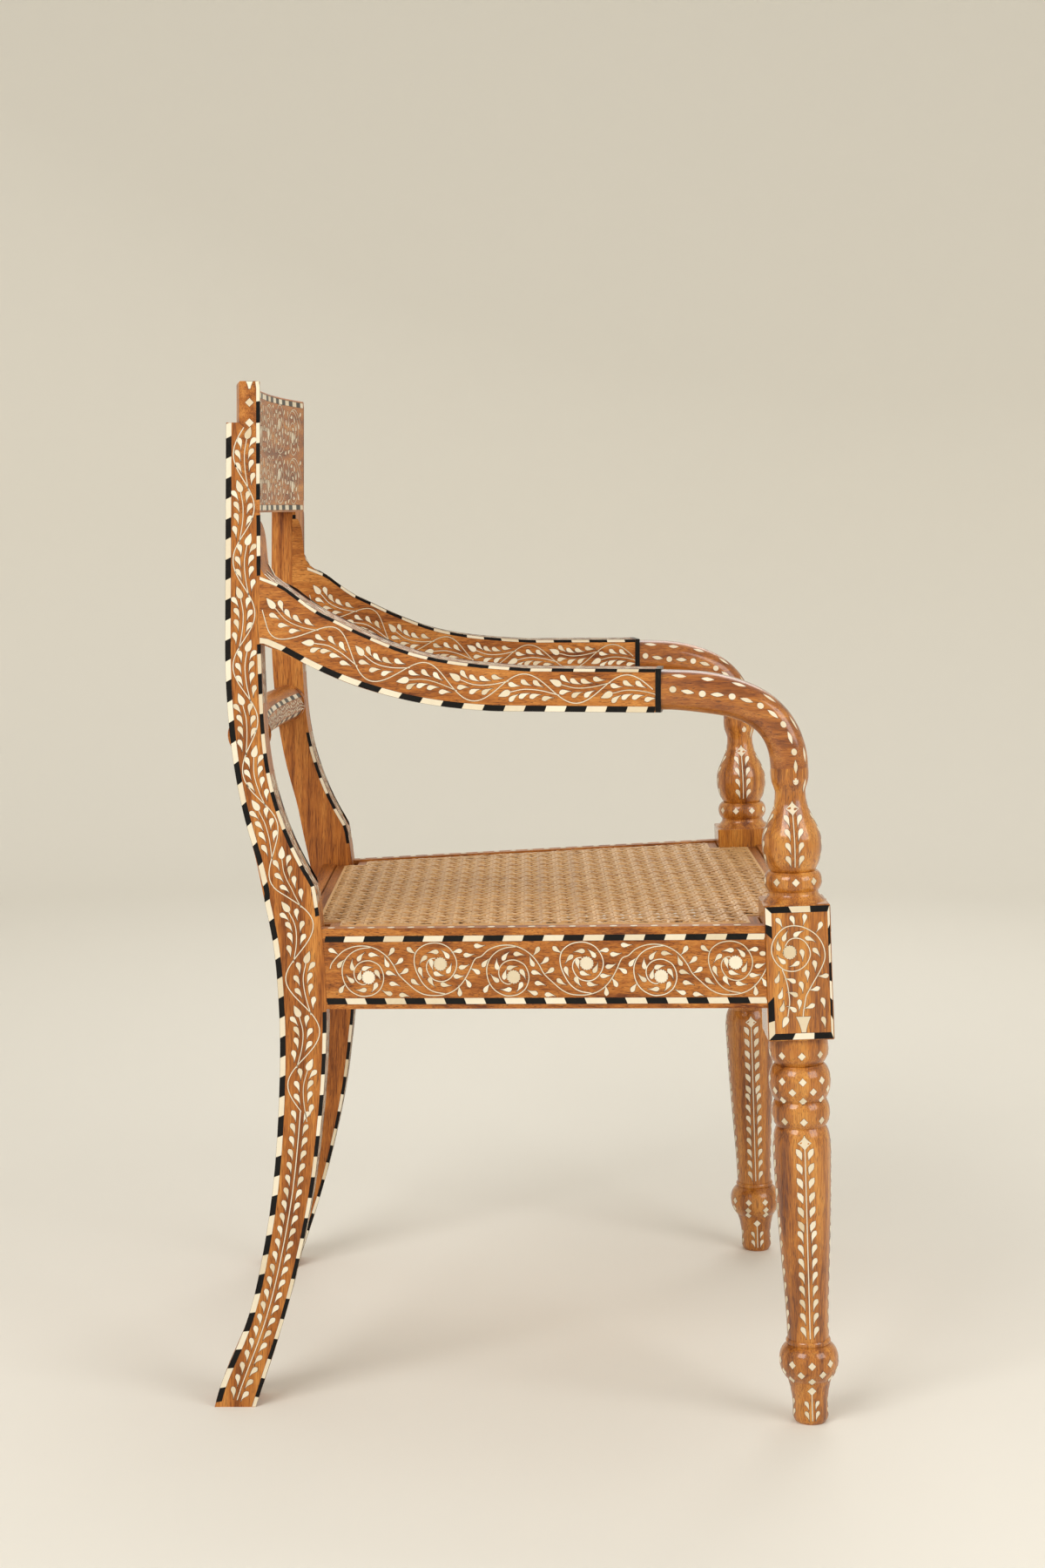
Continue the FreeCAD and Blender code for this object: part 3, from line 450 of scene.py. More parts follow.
class FlatFace(Ground):
    """A flat side of one or more CAD nodes, with its rim; along x across points out."""

    same_way: float = 0.999
    same_plane: float = 0.1 * MM
    rim_grid: float = 0.001 * MM
    facing_share: float = 0.6
    no_area: float = 1e-20

    def __init__(self, nodes: Sequence[str], facing: Array, along: Array) -> None:
        """Find the largest flat side that faces a way.

        Args:
            nodes: The CAD nodes; the first one's largest triangle sets the plane.
            facing: Roughly the way the side faces.
            along: Roughly the way the lengths along it run.
        """
        corners = [node_triangles(name) for name in nodes]
        normals, areas = self._normals(corners[0])
        best = np.argmax(areas * (normals @ facing > self.facing_share))
        self.normal = normals[best]
        self.along = unit(along - self.normal * (along @ self.normal))
        self.across = np.cross(self.normal, self.along)
        self.origin = self.normal * (corners[0][best][0] @ self.normal)
        self.rim = self._find_rim(np.concatenate(corners))

    def _normals(self, corners: Array) -> tuple[Array, Array]:
        """Measure triangles.

        Args:
            corners: Triangles x 3 x 3.

        Returns:
            Each one's unit normal and its area.
        """
        turned = np.cross(corners[:, 1] - corners[:, 0], corners[:, 2] - corners[:, 0])
        areas = np.linalg.norm(turned, axis=1)
        return turned / np.maximum(areas, self.no_area)[:, None], areas / 2

    def _find_rim(self, corners: Array) -> Array:
        """Find the edges that only one triangle of the side has.

        Args:
            corners: The nodes' triangles, x 3 x 3.

        Returns:
            The edges, as pairs of flat points.
        """
        normals, _ = self._normals(corners)
        level = np.abs((corners - self.origin) @ self.normal).max(axis=1) < self.same_plane
        flat = corners[(normals @ self.normal > self.same_way) & level]
        spots = points(flat @ self.along, flat @ self.across).reshape(-1, 2)
        places, index = np.unique(np.round(spots / self.rim_grid), axis=0, return_inverse=True)
        index = index.reshape(-1, 3)
        edges = points(index, np.roll(index, -1, axis=1)).reshape(-1, 2)
        pairs, uses = np.unique(np.sort(edges, axis=1), axis=0, return_counts=True)
        return places[pairs[uses == 1]] * self.rim_grid

    @property
    def box(self) -> Array:
        """The rim's lowest and highest lengths along and across, as two rows."""
        rim = self.rim.reshape(-1, 2)
        return np.stack([rim.min(axis=0), rim.max(axis=0)])

    def reaches(self, spots: Array, way: Array) -> Array:
        """Return how far each flat spot lies from the rim's edges along one way.

        Spot + reach * way lies on the edge; the reach is NaN where the line passes the edge by.

        Args:
            spots: Flat points, one per row.
            way: The flat way, of length one.

        Returns:
            One row per spot, sorted, with the NaN values last.
        """
        start = self.rim[None, :, 0] - spots[:, None]
        run = self.rim[None, :, 1] - self.rim[None, :, 0]
        turn = way[0] * run[..., 1] - way[1] * run[..., 0]
        turn = np.where(np.abs(turn) < TINY, np.nan, turn)
        reach = (start[..., 0] * run[..., 1] - start[..., 1] * run[..., 0]) / turn
        share = (start[..., 0] * way[1] - start[..., 1] * way[0]) / turn
        return np.sort(np.where((share >= 0) & (share <= 1), reach, np.nan), axis=1)

    def keep_outline(self) -> None:
        """Drop the rims of openings: only the longest closed loop stays.

        Each corner takes the lowest number of the corners it is joined to, until none changes.
        """
        places, ends = np.unique(self.rim.reshape(-1, 2), axis=0, return_inverse=True)
        ends = ends.reshape(-1, 2)
        label = np.arange(len(places))
        for _ in range(len(places)):
            spread = label.copy()
            for column in ends.T:
                np.minimum.at(spread, column, label[ends].min(axis=1))
            if (spread == label).all():
                break
            label = spread
        loops = label[ends[:, 0]]
        longest = np.bincount(loops, np.linalg.norm(self.rim[:, 1] - self.rim[:, 0], axis=1)).argmax()
        self.rim = self.rim[loops == longest]

    def place(self, shapes: Array) -> tuple[Array, Array]:
        """Return the points and the outward normals of places along and across."""
        spots = self.origin + shapes[..., :1] * self.along + shapes[..., 1:] * self.across
        return spots, np.broadcast_to(self.normal, spots.shape)


SEAT_UP = FlatFace(["cane_panel"], UP, FRONT).normal
SEAT_FRONT = np.cross(SEAT_UP, OUT)


def plates(ground: Ground, shapes: Array, lift: Array | float, depth: Array | float) -> tuple:
    """Work out closed thin plates that lie on a ground.

    Each station of a shape becomes a ring of six corners, its left, middle and right point above
    and below the ground; four-cornered faces join the rings and two close each end.

    Args:
        ground: Where the plates lie.
        shapes: Plates x stations x left, middle, right x along, across.
        lift: How far the top stands above the ground.
        depth: How far the underside lies below it.

    Returns:
        Corners, as plates x corners x 3, and one plate's faces.
    """
    spots, out = ground.place(shapes)
    top = spots + out * lift
    low = spots - out * depth
    rings = np.concatenate([low[..., :1, :], top, low[..., :0:-1, :]], axis=2)
    ring = np.arange(6)
    start = 6 * np.arange(shapes.shape[1] - 1)[:, None]
    follow = (ring + 1) % 6
    sides = points(start + ring, start + 6 + ring, start + 6 + follow, start + follow)
    ends = np.array([[0, 1, 2, 5], [2, 3, 4, 5]])
    faces = np.concatenate([sides.reshape(-1, 4), ends, ends[:, ::-1] + 6 * len(start)])
    return rings.reshape(len(shapes), -1, 3), faces


class Pile:
    """Plates of one finish, gathered until they become one piece."""

    shade_curve: tuple = (1.6, 3.2)

    def __init__(self, seed: int) -> None:
        """Start empty.

        Args:
            seed: Makes the shades the same on each run.
        """
        self.parts: list[tuple] = []
        self.total = 0
        self.random = np.random.default_rng(seed)

    def add(self, corners: Array, faces: Array) -> None:
        """Add plates that share one plan of faces, each with a shade of its own.

        Args:
            corners: Plates x corners x 3.
            faces: One plate's faces.
        """
        count, size = corners.shape[:2]
        offsets = self.total + size * np.arange(count)
        own_faces = (faces[None] + offsets[:, None, None]).reshape(-1, faces.shape[1])
        shades = np.repeat(self.random.beta(*self.shade_curve, count), size)
        self.parts.append((corners.reshape(-1, 3), own_faces, shades))
        self.total += count * size

    def make(self, name: str, finish: Inset, slot: str, mirrored: bool) -> bpy.types.Object:
        """Make the piece, which rides on the chair.

        Args:
            name: The piece's name.
            finish: Its finish.
            slot: The record's slot of that finish; not used.
            mirrored: Whether the other side of the chair gets the same plates.

        Returns:
            The new object.
        """
        corners, faces, shades = (np.concatenate(rows) for rows in zip(*self.parts))
        if mirrored:
            faces = np.concatenate([faces, faces[:, ::-1] + len(corners)])
            corners = np.concatenate([corners, corners * [-1, 1, 1]])
            shades = np.tile(shades, 2)
        piece = make_piece(name, corners, faces, finish.material(), shades)
        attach(piece, "root")
        LOG.info("%s: %d faces", name, len(faces))
        return piece


def smooth(knots: Array, per_span: int = PER_SPAN) -> Array:
    """Draw curves through rows of points.

    Each span is a cubic whose end directions are half the step between the neighbouring points.

    Args:
        knots: Curves x points x 2.
        per_span: Stations between two points.

    Returns:
        Curves x stations x 2.
    """
    before = np.concatenate([2 * knots[:, :1] - knots[:, 1:2], knots[:, :-1]], axis=1)[:, :-1]
    after = np.concatenate([knots[:, 1:], 2 * knots[:, -1:] - knots[:, -2:-1]], axis=1)[:, 1:]
    start, end = knots[:, :-1, None], knots[:, 1:, None]
    first = (knots[:, 1:] - before)[:, :, None] / 2
    last = (after - knots[:, :-1])[:, :, None] / 2
    u = (np.arange(per_span) / per_span)[:, None]
    cubic = 2 * (start - end) + first + last
    square = 3 * (end - start) - 2 * first - last
    rows = ((cubic * u + square) * u + first) * u + start
    return np.concatenate([rows.reshape(len(knots), -1, 2), knots[:, -1:]], axis=1)


def widen(lines: Array, half: Array | float) -> Array:
    """Give middle lines a left, middle and right place at each station.

    The sides stand off at right angles to the line's own way.

    Args:
        lines: Shapes x stations x 2.
        half: The half width at each station, or one for all.

    Returns:
        Shapes x stations x 3 x 2.
    """
    way = unit(np.gradient(lines, axis=1))
    aside = points(-way[..., 1], way[..., 0])
    half = np.broadcast_to(half, lines.shape[:2])
    return lines[:, :, None] + aside[:, :, None] * (COLUMNS * half[..., None])[..., None]


@dataclass(frozen=True)
class Motif:
    """A leaf, bud or lozenge, drawn along its own middle line from its stalk.

    Its half width at a share u of its length is width / 2 * sin(pi * u ** lean) ** fullness, and
    its middle line stands aside by bend * length * (1 - u) ** 2.
    """

    length: float
    width: float
    lean: float = 1.0
    fullness: float = 0.75
    bend: float = 0.0
    stations: int = 7
    tip: float = 0.06 * MM

    def profile(self) -> tuple[Array, Array]:
        """Work out the outline.

        Returns:
            The middle line's points and the half widths there.
        """
        share = (1 - np.cos(np.linspace(0, math.pi, self.stations))) / 2
        swell = np.sin(math.pi * share**self.lean).clip(0) ** self.fullness
        line = points(share, self.bend * (1 - share) ** 2) * self.length
        return line, np.maximum(self.width / 2 * swell, self.tip)

    def lay(
        self,
        places: Array,
        angles: Array | float = 0.0,
        sizes: Array | float = 1.0,
        sides: Array | float = 1.0,
    ) -> Array:
        """Copy the motif to places on a ground.

        Args:
            places: The stalk's place, copies x 2.
            angles: Each copy's way, turned from along toward across.
            sizes: Each copy's share of the full size.
            sides: 1, or -1 to bend it to the other side.

        Returns:
            Copies x stations x 3 x 2.
        """
        line, half = self.profile()
        angles, sizes, sides = (
            np.broadcast_to(value, len(places))[:, None] for value in (angles, sizes, sides)
        )
        forward, aside = line[:, 0] * sizes, line[:, 1] * (sizes * sides)
        cos, sin = np.cos(angles), np.sin(angles)
        turned = points(forward * cos - aside * sin, forward * sin + aside * cos)
        return widen(places[:, None] + turned, half * sizes)


@dataclass(frozen=True)
class Diamond(Motif):
    """A square set on its corner, or with a hollow above 1 a star with four points."""

    hollow: float = 1.0

    def profile(self) -> tuple[Array, Array]:
        """Work out the outline, whose width falls off to both ends.

        Returns:
            The middle line about its centre and the half widths there.
        """
        share = np.linspace(0, 1, self.stations)
        fall = (1 - np.abs(2 * share - 1)) ** self.hollow
        return points(share - 0.5, 0.0) * self.length, np.maximum(self.width / 2 * fall, self.tip)


@dataclass(frozen=True)
class Pot(Motif):
    """A flaring pot, drawn from its rim down to its foot."""

    foot_share: float = 0.3
    hollow: float = 1.5

    def profile(self) -> tuple[Array, Array]:
        """Work out the outline, which narrows in a hollow curve to the foot.

        Returns:
            The straight middle line and the half widths there.
        """
        share = np.linspace(0, 1, self.stations)
        flare = self.foot_share + (1 - self.foot_share) * (1 - share) ** self.hollow
        return points(share, 0.0) * self.length, self.width / 2 * flare


@dataclass(frozen=True)
class Disc(Motif):
    """A round dot about its centre, or a daisy whose edge rises and falls once per petal."""

    petals: int = 0
    petal_rise: float = 0.07

    def profile(self) -> tuple[Array, Array]:
        """Work out the outline: the cosine and the sine of each bearing, times the edge's radius.

        Returns:
            The middle line about its centre and the half widths there.
        """
        bearing = np.linspace(math.pi, 0, self.stations)
        wave = self.petal_rise * np.cos(self.petals * bearing) * (self.petals > 0)
        radius = self.length / 2 * (1 + wave)
        return points(radius * np.cos(bearing), 0.0), np.maximum(radius * np.sin(bearing), self.tip)


LEAF = Motif(10.4 * MM, 4.5 * MM, lean=2.3, fullness=0.75, bend=0.36, stations=9)
WING = Motif(10.4 * MM, 5.2 * MM, lean=1.25, fullness=1.1, bend=0.3)
BUD = Motif(11.3 * MM, 5.8 * MM, lean=0.62, fullness=0.9, bend=-0.05, stations=9)
LOZENGE = Motif(11.8 * MM, 4.1 * MM, fullness=1.1)
DOT = Disc(6.0 * MM, 6.0 * MM, stations=9)
DAISY = Disc(11.6 * MM, 11.6 * MM, stations=41, petals=16)
POT = Pot(13.6 * MM, 12.8 * MM)
SQUARE = Diamond(7.6 * MM, 7.6 * MM, stations=5)
STAR = Diamond(13.0 * MM, 12.0 * MM, stations=9, hollow=1.5)
STEM = 0.42 * MM
LEAF_STAND = 1.6 * STEM


class Band(Ground):
    """A long side's ground: lengths along its middle line and across it.

    The middle line and the half width come from the two rims of a flat face.
    """

    step: float = 4 * MM
    overhang: float = 60 * MM

    def __init__(
        self,
        face: FlatFace,
        first: float | None = None,
        last: float | None = None,
        flares: tuple = (0.0, 0.0),
    ) -> None:
        """Measure the band.

        Args:
            face: The flat side.
            first, last: Where it starts and ends along the face; the rim's own ends if not given.
            flares: How long the high edge flares at the start and at the end; the band keeps its
                thickness there.
        """
        self.face = face
        low, high = face.box[:, 0] + [face.same_plane, -face.same_plane]
        self.first = low if first is None else first
        self.last = high if last is None else last
        runs = np.linspace(self.first, self.last, int((self.last - self.first) / self.step) + 2)
        hits = face.reaches(points(runs, 0.0), np.array([0.0, 1.0]))
        low, high = np.nanmin(hits, axis=1), np.nanmax(hits, axis=1)
        calm = (runs >= self.first + flares[0]) & (runs <= self.last - flares[1])
        high = low + np.interp(runs, runs[calm], (high - low)[calm])
        middle = (low + high) / 2
        slope = np.gradient(middle, runs)
        rows = points(runs, middle, slope, (high - low) / 2 / np.hypot(1, slope))
        ends = rows[[0, -1]]
        ends[:, :2] += self.overhang * np.array([[-1, -slope[0]], [1, slope[-1]]])
        self.rows = np.concatenate([ends[:1], rows, ends[1:]])
        self.lengths = run_lengths(self.rows[:, :2])
        self.lengths -= self.lengths[1]
        self.total = self.lengths[-2]

    def length_at(self, run: float) -> float:
        """Return the length along the middle line at a length along the face."""
        return float(np.interp(run, self.rows[:, 0], self.lengths))

    def half(self, lengths: Array) -> Array:
        """Return the band's half width at lengths along it."""
        return np.interp(lengths, self.lengths, self.rows[:, 3])

    def place(self, shapes: Array) -> tuple[Array, Array]:
        """Place shapes; what overhangs the band's ends is cut back to them.

        Args:
            shapes: Lengths along and across the band.

        Returns:
            The points and the outward normals.
        """
        start, end = (self.rows[row, 2] * shapes[..., 1] for row in (1, -2))
        along = shapes[..., 0].clip(start, self.total + end)
        run, middle, slope = (np.interp(along, self.lengths, self.rows[:, row]) for row in range(3))
        scale = shapes[..., 1] / np.hypot(1, slope)
        flat = points((run - slope * scale).clip(self.first, self.last), middle + scale)
        return self.face.place(flat)


def cast(corners: Array, starts: Array, ways: Array, slack: float = 1e-6) -> Array:
    """Find where rays first meet triangles.

    Each ray and triangle are solved for the distance and the place within the triangle; the
    shortest distance ahead wins.

    Args:
        corners: Triangles x 3 x 3.
        starts: Where the rays start, with X, Y and Z as the last axis.
        ways: Their ways, or one for all.
        slack: How far past a triangle's edge a ray still meets it, as a share of the edge.

    Returns:
        The distance along each ray, NaN where it meets nothing.
    """
    first, second = corners[:, 1] - corners[:, 0], corners[:, 2] - corners[:, 0]
    rays = [rows.reshape(-1, 3) for rows in np.broadcast_arrays(starts, ways)]
    found = []
    for start, way in zip(*(np.array_split(rows, len(rows) // RAYS_AT_ONCE + 1) for rows in rays)):
        turned = np.cross(way[:, None], second[None])
        size = (turned * first).sum(axis=-1)
        size = np.where(np.abs(size) < SIDEWAYS, np.nan, size)
        gap = start[:, None] - corners[None, :, 0]
        share = (gap * turned).sum(axis=-1) / size
        crossed = np.cross(gap, first[None])
        other = (crossed * way[:, None]).sum(axis=-1) / size
        reach = (crossed * second).sum(axis=-1) / size
        inside = (share >= -slack) & (other >= -slack) & (share + other <= 1 + slack) & (reach > 0)
        nearest = np.where(inside, reach, np.inf).min(axis=1)
        found.append(np.where(np.isfinite(nearest), nearest, np.nan))
    return np.concatenate(found).reshape(starts.shape[:-1])


class Sheet(Ground):
    """A curved side's ground: a grid of points that rays find on the CAD nodes."""

    def __init__(
        self, nodes: Sequence[str], starts: Array, ways: Array, lengths: Array, widths: Array
    ) -> None:
        """Cast the grid.

        Args:
            nodes: The CAD nodes that the rays may meet.
            starts, ways: Rays, as rows x columns x 3; one way may stand for all.
            lengths: The length along the ground at each row.
            widths: The length across it at each column.
        """
        corners = np.concatenate([node_triangles(name) for name in nodes])
        self.lengths = lengths
        self.widths = widths
        self.total = lengths[-1]
        self.points = starts + ways * self._fill(cast(corners, starts, ways))[..., None]
        self.normals = unit(np.cross(*np.gradient(self.points, axis=(0, 1))))
        self.normals *= np.sign(-(self.normals * ways).sum(axis=-1, keepdims=True))

    @staticmethod
    def _fill(reach: Array) -> Array:
        """Give a ray that met nothing the reach between its neighbours in the row.

        Args:
            reach: Rows x columns.

        Returns:
            The reaches, with their gaps filled.
        """
        columns = np.arange(reach.shape[1])
        for row in reach:
            met = np.isfinite(row)
            if met.any():
                row[:] = np.interp(columns, columns[met], row[met])
        return reach

    def half(self, lengths: Array) -> Array:
        """Return the ground's half width, the same at all lengths."""
        return np.full_like(lengths, self.widths[-1])

    def place(self, shapes: Array) -> tuple[Array, Array]:
        """Place shapes, each point and normal blended from the four nearest of the grid.

        Args:
            shapes: Lengths along and across the ground.

        Returns:
            The points and the outward normals.
        """
        row = np.interp(shapes[..., 0], self.lengths, np.arange(len(self.lengths)))
        column = np.interp(shapes[..., 1], self.widths, np.arange(len(self.widths)))
        low_row = row.astype(int).clip(0, len(self.lengths) - 2)
        low_column = column.astype(int).clip(0, len(self.widths) - 2)
        u, v = (row - low_row)[..., None], (column - low_column)[..., None]
        results = []
        for table in (self.points, self.normals):
            near, far = (
                table[rows, low_column] * (1 - v) + table[rows, low_column + 1] * v
                for rows in (low_row, low_row + 1)
            )
            results.append(near * (1 - u) + far * u)
        return results[0], unit(results[1])


class Turned:
    """A turned leg, whose radius at each height four upright rows of rays measure."""

    ray_step: float = 0.5 * MM
    far: float = 80 * MM
    sole: float = 2 * MM

    def __init__(self, node: str, top: float) -> None:
        """Measure the leg.

        Args:
            node: The CAD node.
            top: How high the rays go.
        """
        corners = node_triangles(node)
        spots = corners.reshape(-1, 3)
        sole = spots[spots[:, 2] < spots[:, 2].min() + MM]
        self.foot = (sole.min(axis=0) + sole.max(axis=0)) / 2
        self.heights = np.arange(self.sole, top, self.ray_step)
        column = self.foot + self.heights[:, None] * SEAT_UP
        radii = []
        for way in (OUT, SEAT_FRONT):
            pair = [self.far - cast(corners, column + self.far * ray, -ray) for ray in (way, -way)]
            self.foot = self.foot + way * np.nanmean(pair[0] - pair[1]) / 2
            radii += pair
        self.radii = np.nanmean(radii, axis=0)

    def radius_at(self, heights: Array) -> Array:
        """Return the radius at heights up the leg."""
        return np.interp(heights, self.heights, self.radii)


@dataclass
class Facet(Ground):
    """A turned leg's ground about one bearing in degrees: lengths up its axis and round it."""

    leg: Turned
    bearing: float

    def place(self, shapes: Array) -> tuple[Array, Array]:
        """Place shapes on the turned surface, whose normals lean with its slope.

        Args:
            shapes: Lengths up the axis and round it.

        Returns:
            The points and the outward normals.
        """
        leg = self.leg
        height = shapes[..., 0]
        radius = leg.radius_at(height)
        slope = np.interp(height, leg.heights, np.gradient(leg.radii, leg.heights))[..., None]
        turn = (math.radians(self.bearing) + shapes[..., 1] / radius)[..., None]
        radial = np.cos(turn) * OUT + np.sin(turn) * SEAT_FRONT
        spots = leg.foot + height[..., None] * SEAT_UP + radius[..., None] * radial
        return spots, unit(radial - slope * SEAT_UP)


@dataclass
class Inlay:
    """One sub-assembly's bone and horn pieces, and the mastic that beds them."""

    name: str = "inlay"
    seed: int = 0
    proud: float = 0.16 * MM
    bed_proud: float = 0.08 * MM
    sunk: float = 0.4 * MM
    bed_margin: float = 0.35 * MM
    border_margin: float = 0.2 * MM
    stem_margin: float = 0.18 * MM
    small_leaf: float = 0.93

    def __post_init__(self) -> None:
        """Start with an empty pile for each finish."""
        self.piles = {finish: Pile(self.seed) for finish in (BONE, HORN, MASTIC)}

    def lay(
        self, ground: Ground, shapes: Array, finish: Inset = BONE, margin: float | None = None
    ) -> None:
        """Set shapes into a ground, each in a slightly larger bed of mastic.

        Args:
            ground: The ground they lie on.
            shapes: Shapes x stations x 3 x 2.
            finish: Bone or horn.
            margin: How far the bed stands out round them.
        """
        if not len(shapes):
            return
        margin = self.bed_margin if margin is None else margin
        self.piles[finish].add(*plates(ground, shapes, self.proud, self.sunk))
        bed = shapes.copy()
        aside = unit(shapes[:, :, 2] - shapes[:, :, 0] + TINY) * margin
        bed[:, :, 0] -= aside
        bed[:, :, 2] += aside
        bed[:, 0] -= unit(shapes[:, 1] - shapes[:, 0] + TINY) * margin
        bed[:, -1] += unit(shapes[:, -1] - shapes[:, -2] + TINY) * margin
        self.piles[MASTIC].add(*plates(ground, bed, self.bed_proud, self.sunk))

    def stem(self, ground: Ground, lines: Array, half: float = STEM) -> None:
        """Set thin stems along middle lines, with a narrow bed."""
        self.lay(ground, widen(lines, half), margin=self.stem_margin)

    def leaves(self, ground: Ground, rows: Array, centre: Array, hand: float) -> None:
        """Set small leaves.

        Args:
            ground: The ground they lie on.
            rows: Their heads' and tails' places, measured from the centre.
            centre: The centre's place.
            hand: The side the tails bend to.
        """
        heads, tails = rows[:, :2], rows[:, 2:]
        way = heads - tails
        bearings = np.arctan2(way[:, 1], way[:, 0])
        self.lay(ground, LEAF.lay(centre + tails, bearings, self.small_leaf, hand))

    def alternate(self, ground: Ground, shapes: Array, horn_first: bool) -> None:
        """Set border pieces by turns in bone and horn."""
        for finish, first in ((BONE, horn_first), (HORN, not horn_first)):
            self.lay(ground, shapes[int(first) :: 2], finish, self.border_margin)

    def build(self) -> None:
        """Lay out the pieces; each sub-assembly has its own way."""
        raise NotImplementedError

    def make(self) -> None:
        """Make a piece of each finish that has plates."""
        slots = {BONE: "bone", HORN: "horn", MASTIC: "teak"}
        for finish, pile in self.piles.items():
            if pile.total:
                pile.make(f"{self.name}_{finish.name}", finish, slots[finish], mirrored=True)


@dataclass(frozen=True)
class Border:
    """A row of bone and horn pieces along an edge, with slanted joints.

    A piece's across places are the edge's, drawn in by the margin and the width; its joints move
    along by the slant from the strip's low side to its high side. The last piece is no shorter
    than its least share of a whole one.
    """

    width: float
    margin: float = 0.0
    slant: float = 0.0
    piece: float = 17.8 * MM
    least: float = 0.3
    gap: float = 0.12 * MM
    stations: int = 4

    def lay(
        self,
        inlay: Inlay,
        ground: Band | Sheet,
        start: float,
        end: float,
        sides: tuple = (1, -1),
        lead: float | None = None,
        horn_first: bool = False,
    ) -> None:
        """Set the border between two lengths along a ground.

        Args:
            inlay: Takes the pieces.
            ground: The ground they lie on.
            start, end: The two lengths; the end may lie before the start.
            sides: 1 for the ground's high edge, -1 for its low edge.
            lead: The first piece's length, where it is cut short.
            horn_first: Whether the piece at the start is horn.
        """
        way = math.copysign(1.0, end - start)
        length = abs(end - start)
        lead = self.piece if lead is None else lead
        inner_joints = np.arange(lead, length - self.piece * self.least, self.piece)
        joints = np.concatenate([[0], inner_joints, [length]])
        ends = np.sort(start + way * points(joints[:-1] + self.gap, joints[1:] - self.gap), axis=1)
        middle = ends[:, :1] + (ends[:, 1:] - ends[:, :1]) * np.linspace(0, 1, self.stations)
        along = middle[..., None] + self.slant * COLUMNS / 2
        for side in sides:
            inset = self.margin + self.width * (1 - side * COLUMNS) / 2
            inlay.alternate(ground, points(along, side * (ground.half(along) - inset)), horn_first)


@dataclass(frozen=True)
class Vine:
    """A waving stem with a leafy branch and a bud in each half wave.

    The stem's across place is a sine of the length along it. Each branch starts on the stem a
    little before a crossing, keeps near the middle line and leans away from its own half wave.
    Its leaves' places are given for that open side first, then for the stem's side.
    """

    reach: float = 0.84
    branch: tuple = ((-0.18, 0.45), (0.18, 0.14), (0.5, 0.06), (0.78, 0.28))
    branch_share: float = 0.85
    leaves: tuple = ((-0.06, 0.17, 0.4, 0.66), (0.15, 0.37, 0.59))
    leaf_turn: float = 44.0
    bud_turn: float = 8.0
    leaf_size: float = 1.0
    per_wave: int = 14
    per_span: int = 5

    def lay(
        self,
        inlay: Inlay,
        ground: Band | Sheet,
        ends: tuple[float, float],
        count: int,
        taken: float,
        side: int = 1,
        turned: bool = False,
        shift: float = 0.0,
    ) -> None:
        """Set one vine into a ground.

        Args:
            inlay: Takes the pieces.
            ground: The ground they lie on.
            ends: The lengths along the ground where it starts and ends.
            count: How many half waves there are.
            taken: What the borders take off the ground's half width.
            side: The first half wave's side.
            turned: Whether the vine is turned end for end.
            shift: How far the field's middle lies across from the ground's.
        """
        origin = np.array([ground.total if turned else 0.0, shift])
        sign = -1 if turned else 1

        def swing(lengths: Array) -> Array:
            """Return the stem's furthest place across at lengths along the vine."""
            return self.reach * (ground.half(origin[0] + sign * lengths) - taken)

        first, last = ends
        wave = (last - first) / count
        run = np.linspace(first, last, count * self.per_wave + 2)
        stem = points(run, side * swing(run) * np.sin(math.pi * (run - first) / wave))
        number = np.arange(count)
        away = -side * (-1.0) ** number
        knots = np.array(self.branch)
        along = first + number[:, None] * wave + knots[:, 0] * wave
        lines = smooth(points(along, away[:, None] * swing(along) * knots[:, 1]), self.per_span)
        inlay.stem(ground, origin + sign * stem[None])
        inlay.stem(ground, origin + sign * lines, STEM * self.branch_share)
        for hand, places in zip((away, -away), self.leaves):
            for place in places:
                share = (place - knots[0, 0]) / (knots[-1, 0] - knots[0, 0]) * (lines.shape[1] - 1)
                low = int(share)
                way = lines[:, low + 1] - lines[:, low]
                bearings = np.arctan2(way[:, 1], way[:, 0])
                aside = points(-np.sin(bearings), np.cos(bearings)) * LEAF_STAND
                spots = lines[:, low] + way * (share - low) + aside * hand[:, None]
                bearings = bearings + hand * math.radians(self.leaf_turn)
                inlay.lay(ground, origin + sign * LEAF.lay(spots, bearings, self.leaf_size, hand))
        way = lines[:, -1] - lines[:, -2]
        bearings = np.arctan2(way[:, 1], way[:, 0]) + away * math.radians(self.bud_turn)
        inlay.lay(ground, origin + sign * BUD.lay(lines[:, -1], bearings, self.leaf_size, away))


@dataclass(frozen=True)
class Sprig:
    """A straight stem with pairs of leaves, and a finial where it has one.

    Its margins are the shares of a pitch that stay bare at its foot and its top.
    """

    pitch: float = 12.5 * MM
    leaf: Motif = LEAF
    leaf_turn: float = 42.0
    finial: Motif | None = None
    finial_lift: float = 0.45
    margins: tuple = (0.2, 0.5)
    stations: int = 24

    def lay(
        self, inlay: Inlay, ground: Ground, first: float, last: float, sizes: tuple = (1.0, 1.0)
    ) -> None:
        """Set the sprig between two lengths along a ground.

        Args:
            inlay: Takes the pieces.
            ground: The ground they lie on.
            first, last: The stem's foot and its top.
            sizes: The leaves' share of their full size at the foot and at the top.
        """
        inlay.stem(ground, points(np.linspace(first, last, self.stations), 0.0)[None])
        low, high = (self.pitch * margin for margin in self.margins)
        places = np.arange(first + low, last - high, self.pitch)
        size = np.interp(places, [first, last], sizes)
        for hand in (1, -1):
            turn = hand * math.radians(self.leaf_turn)
            inlay.lay(ground, self.leaf.lay(points(places, hand * LEAF_STAND), turn, size, hand))
        if self.finial:
            top = last + self.finial.length * self.finial_lift
            inlay.lay(ground, self.finial.lay(np.array([[top, 0.0]])))


